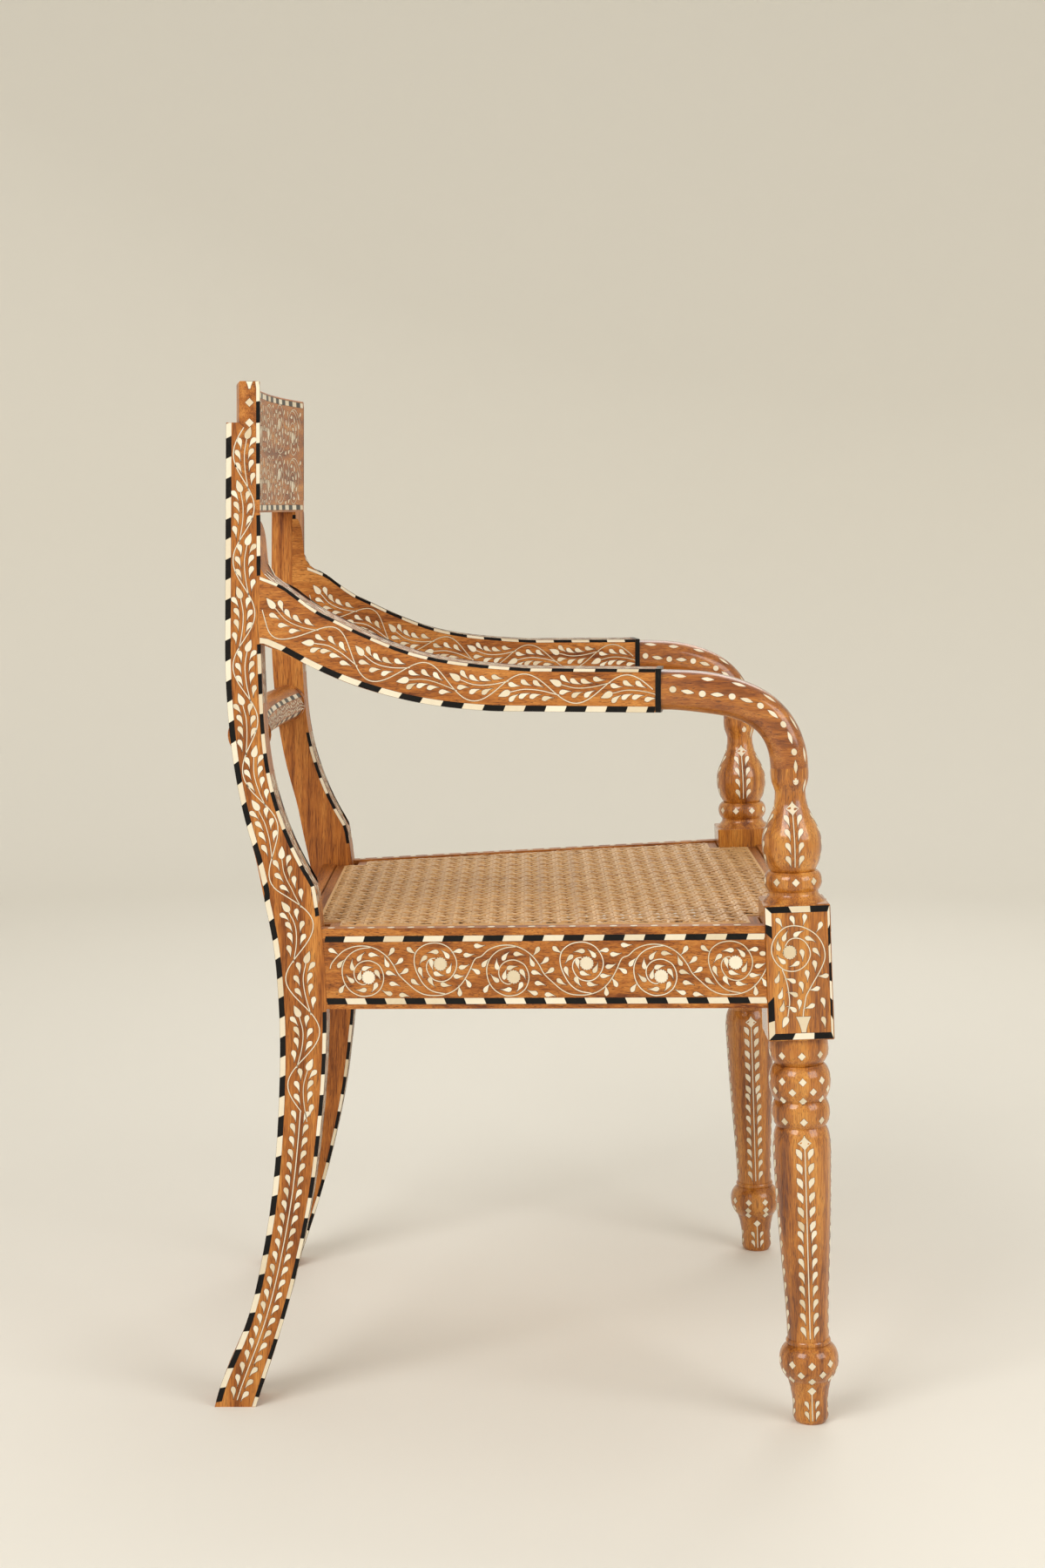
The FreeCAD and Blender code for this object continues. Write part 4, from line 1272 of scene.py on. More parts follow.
@dataclass(frozen=True)
class Spiral:
    """One spiral of a scroll round its daisy, with the wave that carries it.

    All places are in millimetres from the daisy. A leaf is its head's place and its tail's.
    """

    wave: tuple
    line: tuple
    leaves: tuple
    hand: float


LOW_SPIRAL = Spiral(
    wave=(
        (-28, 18.3), (-21.8, 23.6), (-14.2, 26.8), (-6.5, 27.9), (1.5, 27.2),
        (9.5, 24.1), (17.1, 18.4), (22.8, 10.8), (27.2, 2.5),
    ),
    line=(
        (4, 26.6), (-6.3, 25.4), (-14.6, 21.8), (-20.9, 15.2), (-23.7, 6.3), (-22.2, -3.8), (-17.1, -11.4),
        (-9.5, -15.8), (-3.2, -16.6), (4.4, -14.9), (10.8, -9.5), (13.7, 0), (10.8, 9.5), (4.4, 13.9),
        (-1.3, 14.8), (-7.6, 12.9), (-12, 8.2), (-13, 2.5), (-10.8, -3.2), (-6.3, -6.1), (-2.8, -6.1),
    ),
    leaves=(
        (-8.5, 0, -9.1, 7.2), (-3.4, 8.2, 2.3, 12), (8, 4.4, 13, 0), (6.7, -7, 5.4, -13.9),
        (-4.7, -11.4, -11, -13.9), (-16.7, -2.5, -21.8, -0.4), (-14.8, 8.9, -17.3, 15.2),
        (-8.9, 15.2, -5.9, 23.4), (2.9, 20.3, 9.9, 22), (17.5, 10.5, 12.4, 16.5), (-26.2, 11.3, -23.8, 17.6),
        (-25.6, -11.4, -23.7, -4.4), (18.7, 4.2, 25.3, 4.7), (20.5, -5.4, 28.1, -4.4),
        (17.8, -14.6, 11.4, -14.6), (30.1, -15.2, 36.5, -13.9), (22.5, 23.7, 20.5, 17.1),
        (30.8, 16.5, 26.2, 8.8), (34.3, 6, 29.7, 0.3),
    ),
    hand=1.0,
)
HIGH_SPIRAL = Spiral(
    wave=(
        (-30, -16.7), (-22.4, -23.2), (-14.8, -26.8), (-5.3, -27.7), (2.9, -26.8),
        (10.5, -24), (16.8, -19.2), (21.9, -12.9), (26.3, -5.3), (31, 4),
    ),
    line=(
        (3.5, -26.2), (-7.2, -24), (-14.8, -18.6), (-19.9, -10.4), (-22.7, -2.8), (-23.3, 4.2), (-21.1, 11.1),
        (-14.8, 16.2), (-7.2, 18.4), (0.4, 18), (8, 14.3), (13, 7.3), (14.7, 0.4), (13, -6.6), (8, -12.9),
        (1.6, -15.4), (-5.3, -14.2), (-9.7, -10.4), (-12.3, -4.7), (-11.9, 0.4), (-9.1, 4.2), (-4.4, 5.1),
    ),
    leaves=(
        (-8.5, 1, -9.7, -5.3), (-2.8, -9.7, 1.6, -12.9), (8, -5.6, 12.4, -1.5), (6.7, 7.3, 4.2, 13.7),
        (-4, 11.1, -10.4, 13), (-14.8, 5.4, -20.3, 2.9), (-18.6, -5.3, -18.9, -12.3),
        (-9.7, -14.8, -8.5, -21.1), (3.5, -19.2, 8, -21.8), (14.9, -11.6, 20.6, -13.5),
        (16.8, 11.8, 10.5, 13), (23.8, 7.3, 30.1, 5.4), (20, -3.4, 26, -3.8), (25.7, -19.6, 24, -11.3),
        (16.8, -26.2, 18.7, -19.1), (-25.8, -14, -20.8, -21), (-27.5, 12.4, -23.7, 7),
        (32.7, 15.6, 39.6, 13), (34.9, -9.1, 28.8, -1.5),
    ),
    hand=-1.0,
)


@dataclass(frozen=True)
class Scroll:
    """A running wave with a low and a high spiral by turns."""

    pitch: float = 64.9 * MM
    low: float = -6.5 * MM
    high: float = 5.1 * MM
    stretch: tuple = (1.0, 1.0)
    lead_in: tuple = ((-34.5, 8), (-33, 12.5))
    lead_leaves: tuple = ((-33, 24.5, -26, 23.5),)

    @property
    def step(self) -> float:
        """The length from one daisy to the next."""
        return self.pitch * self.stretch[0]

    def lay(self, inlay: Inlay, ground: Ground, first: float, count: int, middle: float) -> None:
        """Set the scroll into a ground.

        Args:
            inlay: Takes the pieces.
            ground: The ground they lie on.
            first: The first daisy's length along it.
            count: How many spirals there are.
            middle: Where the field's middle lies across the ground.
        """
        scale = np.array(self.stretch)
        wave = []
        for number in range(count):
            spiral, height = ((LOW_SPIRAL, self.low), (HIGH_SPIRAL, self.high))[number % 2]
            centre = np.array([first + number * self.step, middle + height * scale[1]])
            leaves = spiral.leaves
            if number == 0:
                leaves = leaves + self.lead_leaves
                wave.append(centre + mm(*self.lead_in) * scale)
            inlay.stem(ground, smooth(centre + (mm(*spiral.line) * scale)[None]))
            inlay.leaves(ground, mm(*leaves) * np.tile(scale, 2), centre, spiral.hand)
            inlay.lay(ground, DAISY.lay(centre[None]))
            wave.append(centre + mm(*spiral.wave) * scale)
        inlay.stem(ground, smooth(np.concatenate(wave)[None]))


@dataclass
class RearPostInlay(Inlay):
    """Vine, borders and foot sprig on the outer sides of the rear posts, and the crest's ends.

    The runs and fields are heights in millimetres, with the first piece's length and whether it
    is horn, or with the number of half waves.
    """

    name: str = "rear_post_inlay"
    seed: int = 11
    back_border: Border = Border(4.7 * MM, slant=-2.4 * MM, piece=17.9 * MM)
    front_border: Border = Border(3.2 * MM, slant=-0.4 * MM, piece=18.0 * MM)
    arris: Border = Border(3.0 * MM, piece=18.0 * MM)
    face_border: Border = Border(3.4 * MM, slant=1.2 * MM)
    face_vine: Vine = Vine(reach=0.7728, leaf_size=0.9)
    front_runs: tuple = (
        (871.0, 803.0, 18.0, False),
        (789.0, 735.7, 18.0, True),
        (675.0, 431.0, 8.8, True),
        (349.0, 0.0, 18.0, True),
    )
    inner_runs: tuple = ((788.0, 736.0), (560.0, 440.0), (345.0, 2.0))
    front_fields: tuple = ((6.0, 345.0, 7), (445.0, 560.0, 3), (622.0, 668.0, 1))
    post_foot: float = 0.4 * MM
    post_top: float = 871.0 * MM
    back_lead: float = 12.9 * MM
    sprig: Sprig = Sprig(pitch=11.5 * MM)
    sprig_foot: float = 6.0 * MM
    vine_foot: float = 261.3 * MM
    vine_top: float = 867.0 * MM
    half_waves: int = 13
    diamonds: tuple = (871.0, 889.0)
    finial_drop: float = 0.3 * MM
    finial_size: float = 0.48
    edge: float = 0.6 * MM
    ray_step: float = 3.0 * MM
    rays_across: int = 5

    def build(self) -> None:
        """Lay out both borders, the vine and the sprig below it, then the other sides."""
        band = Band(FlatFace(["rear_post_right", "crest_rail"], OUT, UP), self.post_foot, self.post_top)
        self.back_border.lay(self, band, band.total, 0.0, (1,), self.back_lead)
        for start, end, lead, horn in self.front_runs:
            ends = (band.length_at(place * MM) for place in (start, end))
            self.front_border.lay(self, band, *ends, (-1,), lead * MM, horn)
        ends = (band.length_at(self.vine_foot), band.length_at(self.vine_top))
        back, front = self.back_border.width, self.front_border.width
        Vine().lay(self, band, ends, self.half_waves, (back + front) / 2, shift=(front - back) / 2)
        self.sprig.lay(self, band, self.sprig_foot, ends[0])
        self.crest_end()
        self.inner_side()
        self.front_side()

    def crest_end(self) -> None:
        """Set the diamonds and the short border on the crest's end."""
        face = FlatFace(["crest_rail"], OUT, UP)
        (_, back), (top, front) = face.box
        line = (back + front) / 2
        self.lay(face, SQUARE.lay(points(mm(*self.diamonds), line)))
        self.lay(face, POT.lay(np.array([[top - self.finial_drop, line]]), math.pi, self.finial_size))
        band = Band(face, self.post_top)
        self.front_border.lay(self, band, band.total, 0.0, (-1,))

    def inner_side(self) -> None:
        """Set the thin strip that shows at the front edge of a post's inner side."""
        face = FlatFace(["rear_post_right"], -OUT, UP)
        for start, end in self.inner_runs:
            band = Band(face, end * MM, start * MM)
            self.arris.lay(self, band, band.total, 0.0, (1,), horn_first=True)

    def front_side(self) -> None:
        """Set a vine between two borders on the front of a post, below and above the seat."""
        low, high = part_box("rear_post_right")
        half = (high.x - low.x) / 2 - self.edge
        widths = np.linspace(-half, half, self.rays_across)
        for start, end, waves in self.front_fields:
            ups = np.arange(start * MM, end * MM, self.ray_step)
            starts = points((low.x + high.x) / 2 + widths, BACKWARD_RAYS_Y, ups[:, None])
            ground = Sheet(["rear_post_right"], starts, -FRONT, ups - ups[0], widths)
            self.face_border.lay(self, ground, ground.total, 0.0)
            ends = (0.0, ground.total)
            self.face_vine.lay(self, ground, ends, waves, self.face_border.width)


@dataclass
class CrestInlay(Inlay):
    """Borders and two rows of scroll on the front of the crest."""

    name: str = "crest_inlay"
    seed: int = 12
    side: float = 226.0 * MM
    past_middle: float = 6.0 * MM
    edge: float = 1.2 * MM
    border: Border = Border(5.0 * MM, margin=1.0 * MM, slant=1.5 * MM)
    scroll: Scroll = Scroll(stretch=(1.1, 1.06))
    spirals: int = 3
    row_height: float = 25.5 * MM
    rays: tuple = (48, 14)

    def build(self) -> None:
        """Cast the curved front and lay one half of the pattern, which is mirrored."""
        low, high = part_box("crest_rail")
        runs = np.linspace(-self.side, self.past_middle, self.rays[0])
        ups = np.linspace(low.z + self.edge, high.z - self.edge, self.rays[1])
        starts = points(runs[:, None], BACKWARD_RAYS_Y, ups)
        front = Sheet(["crest_rail"], starts, -FRONT, runs, ups - (low.z + high.z) / 2)
        first = (0.5 - self.spirals) * self.scroll.step
        for side in (1, -1):
            self.border.lay(self, front, 0.0, MM - self.side, (side,))
            self.scroll.lay(self, front, first, self.spirals, side * self.row_height)


@dataclass
class BarInlay(Inlay):
    """A vine between two borders along the front of the round back bar."""

    name: str = "back_bar_inlay"
    seed: int = 19
    end: float = 178.0 * MM
    past_middle: float = 4.0 * MM
    radius: float = 18.25 * MM
    half_angle: float = 39.0
    height: float = 591.0 * MM
    border: Border = Border(4.6 * MM, slant=1.2 * MM)
    vine: Vine = Vine(leaf_size=0.62)
    half_waves: int = 5
    clear_end: float = 2.0 * MM
    far_radii: float = 3.0
    rays: tuple = (60, 11)

    def build(self) -> None:
        """Find the bowed middle line from the front, then cast rays from all round it."""
        runs = np.linspace(-self.end, self.past_middle, self.rays[0])
        starts = points(runs, BACKWARD_RAYS_Y, self.height)
        reach = cast(node_triangles("back_bar"), starts, -FRONT)
        centres = starts - FRONT * (reach + self.radius)[:, None]
        turns = np.radians(np.linspace(-self.half_angle, self.half_angle, self.rays[1]))
        ways = np.cos(turns)[:, None] * FRONT + np.sin(turns)[:, None] * UP
        starts = centres[:, None] + self.far_radii * self.radius * ways
        ground = Sheet(["back_bar"], starts, -ways, runs - runs[0], turns * self.radius)
        self.border.lay(self, ground, self.end, self.clear_end)
        ends = (self.clear_end, self.end - self.clear_end)
        self.vine.lay(self, ground, ends, self.half_waves, self.border.width)


@dataclass
class ArmInlay(Inlay):
    """Vines and borders on both sides and the top of the arms.

    The top's pattern starts and ends this many millimetres on from the arm's own ends.
    """

    name: str = "arm_inlay"
    seed: int = 13
    low_border: Border = Border(5.0 * MM, slant=1.8 * MM)
    high_border: Border = Border(2.6 * MM, slant=0.6 * MM, piece=19.0 * MM)
    top_vine: Vine = Vine(reach=0.798, leaf_size=0.9)
    thickness: float = 38.0 * MM
    edge: float = 0.6 * MM
    half_waves: int = 8
    clear_end: float = 2.0 * MM
    low_lead: float = 55.0 * MM
    high_lead: float = 26.0 * MM
    flare: float = 8.0 * MM
    post_front: float = 203.0 * MM
    top_clear: tuple = (4.0, -1.0)
    ray_height: float = 50.0 * MM
    rays: tuple = (64, 7)

    def build(self) -> None:
        """Lay out the outer side, the inner side and the top."""
        outer = FlatFace(["arm_right"], OUT, FRONT)
        self.side(Band(outer, flares=(self.flare, 0.0)), True)
        inner = FlatFace(["arm_right"], -OUT, -FRONT)
        self.side(Band(inner, last=self.post_front, flares=(0.0, self.flare)), False)
        self.top(outer)

    def side(self, band: Band, outer: bool) -> None:
        """Lay out one side of an arm.

        Args:
            band: The side; the outer one runs forward, the inner one back.
            outer: Whether it is the outer one.
        """
        way = 1 if outer else -1
        post, front = (0.0, band.total)[::way]
        start = post - self.thickness / 2 * way
        self.low_border.lay(self, band, start, front, (-1,), self.low_lead)
        self.high_border.lay(self, band, start, front, (1,), self.high_lead)
        ends = (self.clear_end, band.total - self.clear_end)
        low, high = self.low_border.width, self.high_border.width
        Vine().lay(self, band, ends, self.half_waves, (low + high) / 2, -way, outer, (low - high) / 2)

    def top(self, outer: FlatFace) -> None:
        """Lay out a small vine between thin borders on the top of an arm.

        Args:
            outer: The arm's outer side, which gives the rays their places.
        """
        start, end = outer.box[:, 0] + mm(*self.top_clear)
        runs = np.linspace(start, end, self.rays[0])
        half = self.thickness / 2 - self.edge
        widths = np.linspace(-half, half, self.rays[1])
        flat = outer.origin + runs[:, None] * outer.along
        starts = flat[:, None] - (widths + self.thickness / 2)[:, None] * OUT
        starts[..., 2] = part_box("arm_right")[1].z + self.ray_height
        ground = Sheet(["arm_right"], starts, -UP, runs - start, widths)
        ends = (0.0, ground.total)
        self.high_border.lay(self, ground, *ends)
        self.top_vine.lay(self, ground, ends, self.half_waves, self.high_border.width, turned=True)


@dataclass
class KnuckleInlay(Inlay):
    """Chains of dots and lozenges over the arms' turned-down front ends.

    The middle line is measured forward and up, in millimetres; the lean gives two of its places
    forward and its X there.
    """

    name: str = "knuckle_inlay"
    seed: int = 14
    line: tuple = (
        (118.0, 638.0), (130.7, 637.9), (152.1, 634.6), (179.0, 632.6), (204.9, 625.0),
        (225.8, 608.7), (235.4, 584.3), (236.9, 558.6), (236.9, 546.0),
    )
    lean: tuple = ((120.0, 225.0), (-249.5, -261.5))
    radius: float = 20.0 * MM
    far: float = 60.0 * MM
    dots: int = 7
    shoulder_degrees: float = 40.0
    shoulder_shift: float = 4.0 * MM
    per_span: int = 5
    ray_turns: tuple = (-20, 200, 23)

    def build(self) -> None:
        """Cast the bent end from all round its middle line and lay the chains.

        Rays come in square to the middle line, turned about it. The line's first and last span
        stay bare.
        """
        line = smooth(mm(*self.line)[None], self.per_span)[0]
        lengths = run_lengths(line)
        way = unit(np.gradient(line, axis=0))
        centres = points(np.interp(line[:, 0], *mm(*self.lean)), -line[:, 0], line[:, 1])
        upward = points(0.0, way[:, 1], way[:, 0])
        turns = np.radians(np.linspace(*self.ray_turns))
        ways = np.cos(turns)[:, None] * OUT + np.sin(turns)[:, None] * upward[:, None]
        nodes = ["arm_knuckle_right", "front_post_right"]
        starts = centres[:, None] + self.far * ways
        ground = Sheet(nodes, starts, -ways, lengths, turns * self.radius)
        dots = np.linspace(lengths[self.per_span], lengths[-self.per_span - 1], self.dots)
        half_turn = math.pi * self.radius
        shoulder = math.radians(self.shoulder_degrees) * self.radius
        back = LOZENGE.length / 2
        for across in (0.0, half_turn):
            self.lay(ground, DOT.lay(points(dots, across)))
            self.lay(ground, LOZENGE.lay(points((dots[:-1] + dots[1:]) / 2 - back, across)))
        for across in (shoulder, half_turn - shoulder):
            self.lay(ground, LOZENGE.lay(points(dots + self.shoulder_shift - back, across)))


@dataclass
class RailInlay(Inlay):
    """The two borders and the scroll that the seat's rails share."""

    top_border: Border = Border(5.0 * MM, margin=6.75 * MM, slant=1.8 * MM)
    low_border: Border = Border(5.2 * MM, margin=4.25 * MM, slant=-2.0 * MM)
    field_drop: float = 1.15 * MM
    scroll: Scroll = Scroll()

    def rows(self, band: Band, ends: tuple[float, float], first: float, count: int) -> None:
        """Lay both borders and the scroll.

        Args:
            band: The rail's side.
            ends: Where the borders start, with horn, and end.
            first: The first daisy's length along the band.
            count: How many spirals there are.
        """
        self.top_border.lay(self, band, *ends, (1,), horn_first=True)
        self.low_border.lay(self, band, *ends, (-1,), horn_first=True)
        self.scroll.lay(self, band, first, count, -self.field_drop)


@dataclass
class SideRailInlay(RailInlay):
    """Scroll and borders on the outer sides of the side rails, and the dots on their tops."""

    name: str = "side_rail_inlay"
    seed: int = 15
    last_daisy: float = 26.0 * MM
    post_clearance: float = 2.9 * MM
    spirals: int = 6
    dot: Disc = Disc(6.6 * MM, 6.6 * MM, stations=9)
    dot_pitch: float = 18.0 * MM
    dot_drop: float = 5.0 * MM

    def build(self) -> None:
        """Lay out the outer side, then the row of dots along the inner edge of the top."""
        face = FlatFace(["side_rail_right"], OUT, SEAT_FRONT)
        band = Band(face, face.box[0, 0] + self.post_clearance)
        first = band.total - self.last_daisy - (self.spirals - 1) * self.scroll.pitch
        self.rows(band, (0.0, band.total), first, self.spirals)
        top = Band(FlatFace(["side_rail_right"], UP, SEAT_FRONT))
        places = np.arange(self.dot_pitch / 2, top.total - self.dot_pitch / 3, self.dot_pitch)
        self.lay(top, self.dot.lay(points(places, self.dot_drop - top.half(places))))


@dataclass
class FrontRailInlay(RailInlay):
    """Scroll and borders on the front rail, of which one half is laid and mirrored."""

    name: str = "front_rail_inlay"
    seed: int = 16
    scroll: Scroll = Scroll(stretch=(1.12, 1.0))
    spirals: int = 3

    def build(self) -> None:
        """Lay out the half from the rail's middle to the right post."""
        band = Band(FlatFace(["front_rail"], FRONT, -np.cross(FRONT, UP)))
        middle = band.total / 2
        first = middle + (0.5 - self.spirals) * self.scroll.step
        self.rows(band, (middle, 0.0), first, self.spirals)


@dataclass
class BlockInlay(Inlay):
    """The spiral, its hanging branch, its pot and the frame of strips on each front post's block.

    All places of the pattern are in millimetres from the daisy. A leaf is its head's place and
    its tail's. A joint of the near strip is its heights at the outer and at the inner edge.
    """

    name: str = "block_inlay"
    seed: int = 17
    line: tuple = (
        (-3.8, 5.2), (-0.6, 10.2), (4.8, 12.2), (11.2, 10.6), (15.7, 5.6), (17.7, -0.7), (16.6, -6.2),
        (13, -11.6), (7.5, -15.3), (1.2, -16.4), (-5.2, -14.8), (-10.6, -10.3), (-13.8, -5.3), (-15.6, 0.2),
        (-15.2, 6.5), (-12.9, 12), (-8.8, 17.5), (-3.4, 21.5), (3, 22.9), (10.3, 22), (16.6, 19.3),
        (23, 14.7), (27.5, 8.4), (29.8, 2), (30.3, -4.4), (28.5, -10.7), (24.8, -18), (20.3, -25.3),
        (16.2, -32.1), (13, -38), (11.6, -44.4), (10.3, -50.7), (9.8, -55.5),
    )
    branch: tuple = (
        (-7, -14.4), (-4.7, -20.7), (-2.9, -28), (-2, -35.3), (-1.5, -42.5), (-2.5, -49.8), (-3.4, -55.3),
    )
    spiral_leaves: tuple = (
        (-8.8, 27.9, -3.4, 23.8), (2.1, 30.6, 7.5, 23.8), (14.4, 29.3, 15.5, 23.4), (27.5, 22.5, 26.6, 16.1),
        (5.5, 15.2, 10.3, 20.6), (15.7, 12, 23, 11.5), (-4.7, 13.4, -4.3, 19.3), (-8.8, 2, -12.9, 10.2),
        (10.3, 1.1, 13.9, -6.2), (7.1, -8.9, 1.2, -14.8), (-5.2, -8.5, -12.5, -5.3), (21.2, 2, 28, -2.1),
        (21.2, -9.4, 24.4, -16.2), (14.4, -17.5, 17.5, -24.4), (29.8, -21.6, 23.9, -23.9),
        (9.8, -28.5, 13, -33.5), (23.5, -31.6, 16.6, -35.7), (7.1, -42.5, 9.4, -49.8),
        (18.5, -46.2, 12.5, -51.2), (27.5, -42.1, 31.2, -48), (27.1, -58, 31.2, -64.4),
    )
    branch_leaves: tuple = (
        (-12, -24.4, -7, -18.5), (2.5, -24.8, -2.9, -19.8), (-9.3, -38, -4.7, -32.1),
        (3.5, -36.2, -1.5, -31.6), (-8.4, -49.4, -3.8, -43), (3, -50.3, -2, -43.9),
    )
    pot_place: tuple = (10.0, -55.7)
    bud_place: tuple = (-3.4, -55.7)
    bud_turn: float = -118.0
    bud_size: float = 0.9
    strip: float = 5.2 * MM
    thin_strip: float = 1.8 * MM
    daisy_drop: float = 39.5 * MM
    daisy_back: float = 20.0 * MM
    upper_joints: tuple = ((429.5, 427.5), (421.86, 416.86))
    lower_joints: tuple = ((345.0, 346.5), (361.86, 367.06))
    level_joints: tuple = (0.0, 0.36, 0.7, 1.0)
    far_pieces: int = 7
    piece_stations: tuple = (0.01, 0.99, 4)
    tab: float = 1.2 * MM

    def build(self) -> None:
        """Lay out the outer side and the front side of a block."""
        self.side(FlatFace(["front_post_right"], OUT, SEAT_FRONT), self.thin_strip)
        self.side(FlatFace(["front_post_right"], SEAT_FRONT, -OUT), self.strip)

    def side(self, face: FlatFace, far: float) -> None:
        """Lay out one side: its frame of strips, then the spiral, the branch and the pot.

        The level strips come first, then the near upright, whose strips are drawn round the
        rail's end, and the far upright.

        Args:
            face: The block's side.
            far: The width of the strip along the far edge.
        """
        low, high = face.box + [[0, self.tab], [0, -self.tab]]
        wide = self.strip
        edges = ((high[1], high[1] - wide, self.upper_joints), (low[1], low[1] + wide, self.lower_joints))
        for outer, inner, _ in edges:
            rims = [[[low[0], outer], [high[0], outer]], [[low[0] + wide, inner], [high[0] - far, inner]]]
            self.strip_row(face, np.array(rims), self.level_joints, True)
        for outer, inner, joints in edges:
            heights = np.array([[outer, inner], *mm(*joints)])
            rims = points([low[0], low[0] + wide], heights).swapaxes(0, 1)
            self.strip_row(face, rims[:, :2], (0.0, 1.0), False)
            self.strip_row(face, rims[:, 1:], (0.0, 1.0), True)
        heights = [[high[1], low[1]], [high[1] - wide, low[1] + wide]]
        rims = points([[high[0]], [high[0] - far]], heights)
        self.strip_row(face, rims, np.linspace(0, 1, self.far_pieces + 1), False)
        daisy = np.array([low[0] + self.daisy_back, high[1] - self.daisy_drop])
        for line in (self.line, self.branch):
            self.stem(face, smooth((daisy + mm(*line))[None]))
        self.leaves(face, mm(*self.spiral_leaves), daisy, 1.0)
        self.leaves(face, mm(*self.branch_leaves), daisy, -1.0)
        self.lay(face, DAISY.lay(daisy[None]))
        self.lay(face, POT.lay(daisy + mm(self.pot_place), -math.pi / 2))
        self.lay(face, BUD.lay(daisy + mm(self.bud_place), math.radians(self.bud_turn), self.bud_size))

    def strip_row(self, face: FlatFace, rims: Array, joints: Sequence[float], horn: bool) -> None:
        """Set one side of the frame, its ends mitred.

        Args:
            face: The block's side.
            rims: The two ends of the strip's outer edge, then of its inner edge.
            joints: The shares of the length at which the pieces meet.
            horn: Whether the first is horn.
        """
        joints = np.asarray(joints)
        share = joints[:-1, None] + np.diff(joints)[:, None] * np.linspace(*self.piece_stations)
        outer, inner = (start + share[..., None] * (end - start) for start, end in rims)
        self.alternate(face, np.stack([outer, (outer + inner) / 2, inner], axis=2), horn)


@dataclass
class LegInlay(Inlay):
    """Squares round the turned rings and sprigs up the turned shafts of the front legs.

    A ring is its height in millimetres and the share of its pitch that it is turned on by; a
    sprig has its foot and top, and the sizes of its leaves there.
    """

    name: str = "leg_inlay"
    seed: int = 18
    rings: tuple = (
        (322, 0.0), (300, 0.0), (291, 0.5), (283, 0.0), (265, 0.0),
        (54.5, 0.0), (46, 0.5), (40, 0.0), (472, 0.0),
    )
    ring_pitch: float = 18.4 * MM
    square_size: float = 0.9
    sprigs: tuple = (
        (Sprig(pitch=12.0 * MM), 76.0, 171.0, (1.0, 1.05)),
        (Sprig(pitch=12.6 * MM, leaf=WING, finial=STAR), 169.0, 241.0, (1.0, 1.0)),
        (Sprig(pitch=11.5 * MM, finial=STAR), 485.0, 529.0, (1.0, 1.0)),
        (Sprig(pitch=9.0 * MM, finial=SQUARE), 4.0, 27.0, (0.8, 0.8)),
    )
    bearings: tuple = (0.0, 90.0, 180.0, 270.0)
    top: float = 590.0 * MM

    def build(self) -> None:
        """Lay out the rings and the sprigs on every side of the leg."""
        leg = Turned("front_post_right", self.top)
        for height, offset in self.rings:
            count = round(2 * math.pi * float(leg.radius_at(height * MM)) / self.ring_pitch)
            for number in range(count):
                ground = Facet(leg, (number + offset) * 360 / count)
                self.lay(ground, SQUARE.lay(mm((height, 0.0)), sizes=self.square_size))
        for bearing in self.bearings:
            for sprig, first, last, sizes in self.sprigs:
                sprig.lay(self, Facet(leg, bearing), first * MM, last * MM, sizes)


def both(*stems: str) -> list[str]:
    """Return the names of the left and the right node of each stem."""
    return [f"{stem}_{side}" for stem in stems for side in ("left", "right")]


@dataclass
class ChairFrame:
    """The joined pieces that are the CAD nodes themselves, by their wood and its grain."""

    woods: tuple = (
        (both("rear_post"), TEAK, Grain.UPRIGHT),
        (both("front_post"), TURNED_TEAK, Grain.UPRIGHT),
        # The knuckles take the darker teak, which is partly painted shade.
        (both("arm_knuckle"), KNUCKLE_TEAK_DARK_CUT_AND_SHADE, Grain.FRONT_TO_BACK),
        ([*both("side_rail", "arm"), "crest_pegs", "arm_dowels"], TEAK, Grain.FRONT_TO_BACK),
        (["front_rail", "rear_rail", "crest_rail", "back_bar"], TEAK, Grain.ACROSS_SEAT),
        (both("seat_frame"), FRAME_WOOD, Grain.FRONT_TO_BACK),
        (["seat_frame_front", "seat_frame_rear"], FRAME_WOOD, Grain.ACROSS_SEAT),
        (both("corner_block_front", "corner_block_rear"), FRAME_WOOD, Grain.ACROSS_SEAT),
    )

    def build(self) -> None:
        """Dress each node by the wood it is cut from and the way its grain runs."""
        for names, wood, grain in self.woods:
            dress(names, wood.material(grain))
        dress(both("arm_band"), HORN.material())
        dress(["corner_screws", "seat_screws"], STEEL.material())
        LOG.info("frame: %d nodes dressed", len(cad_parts))


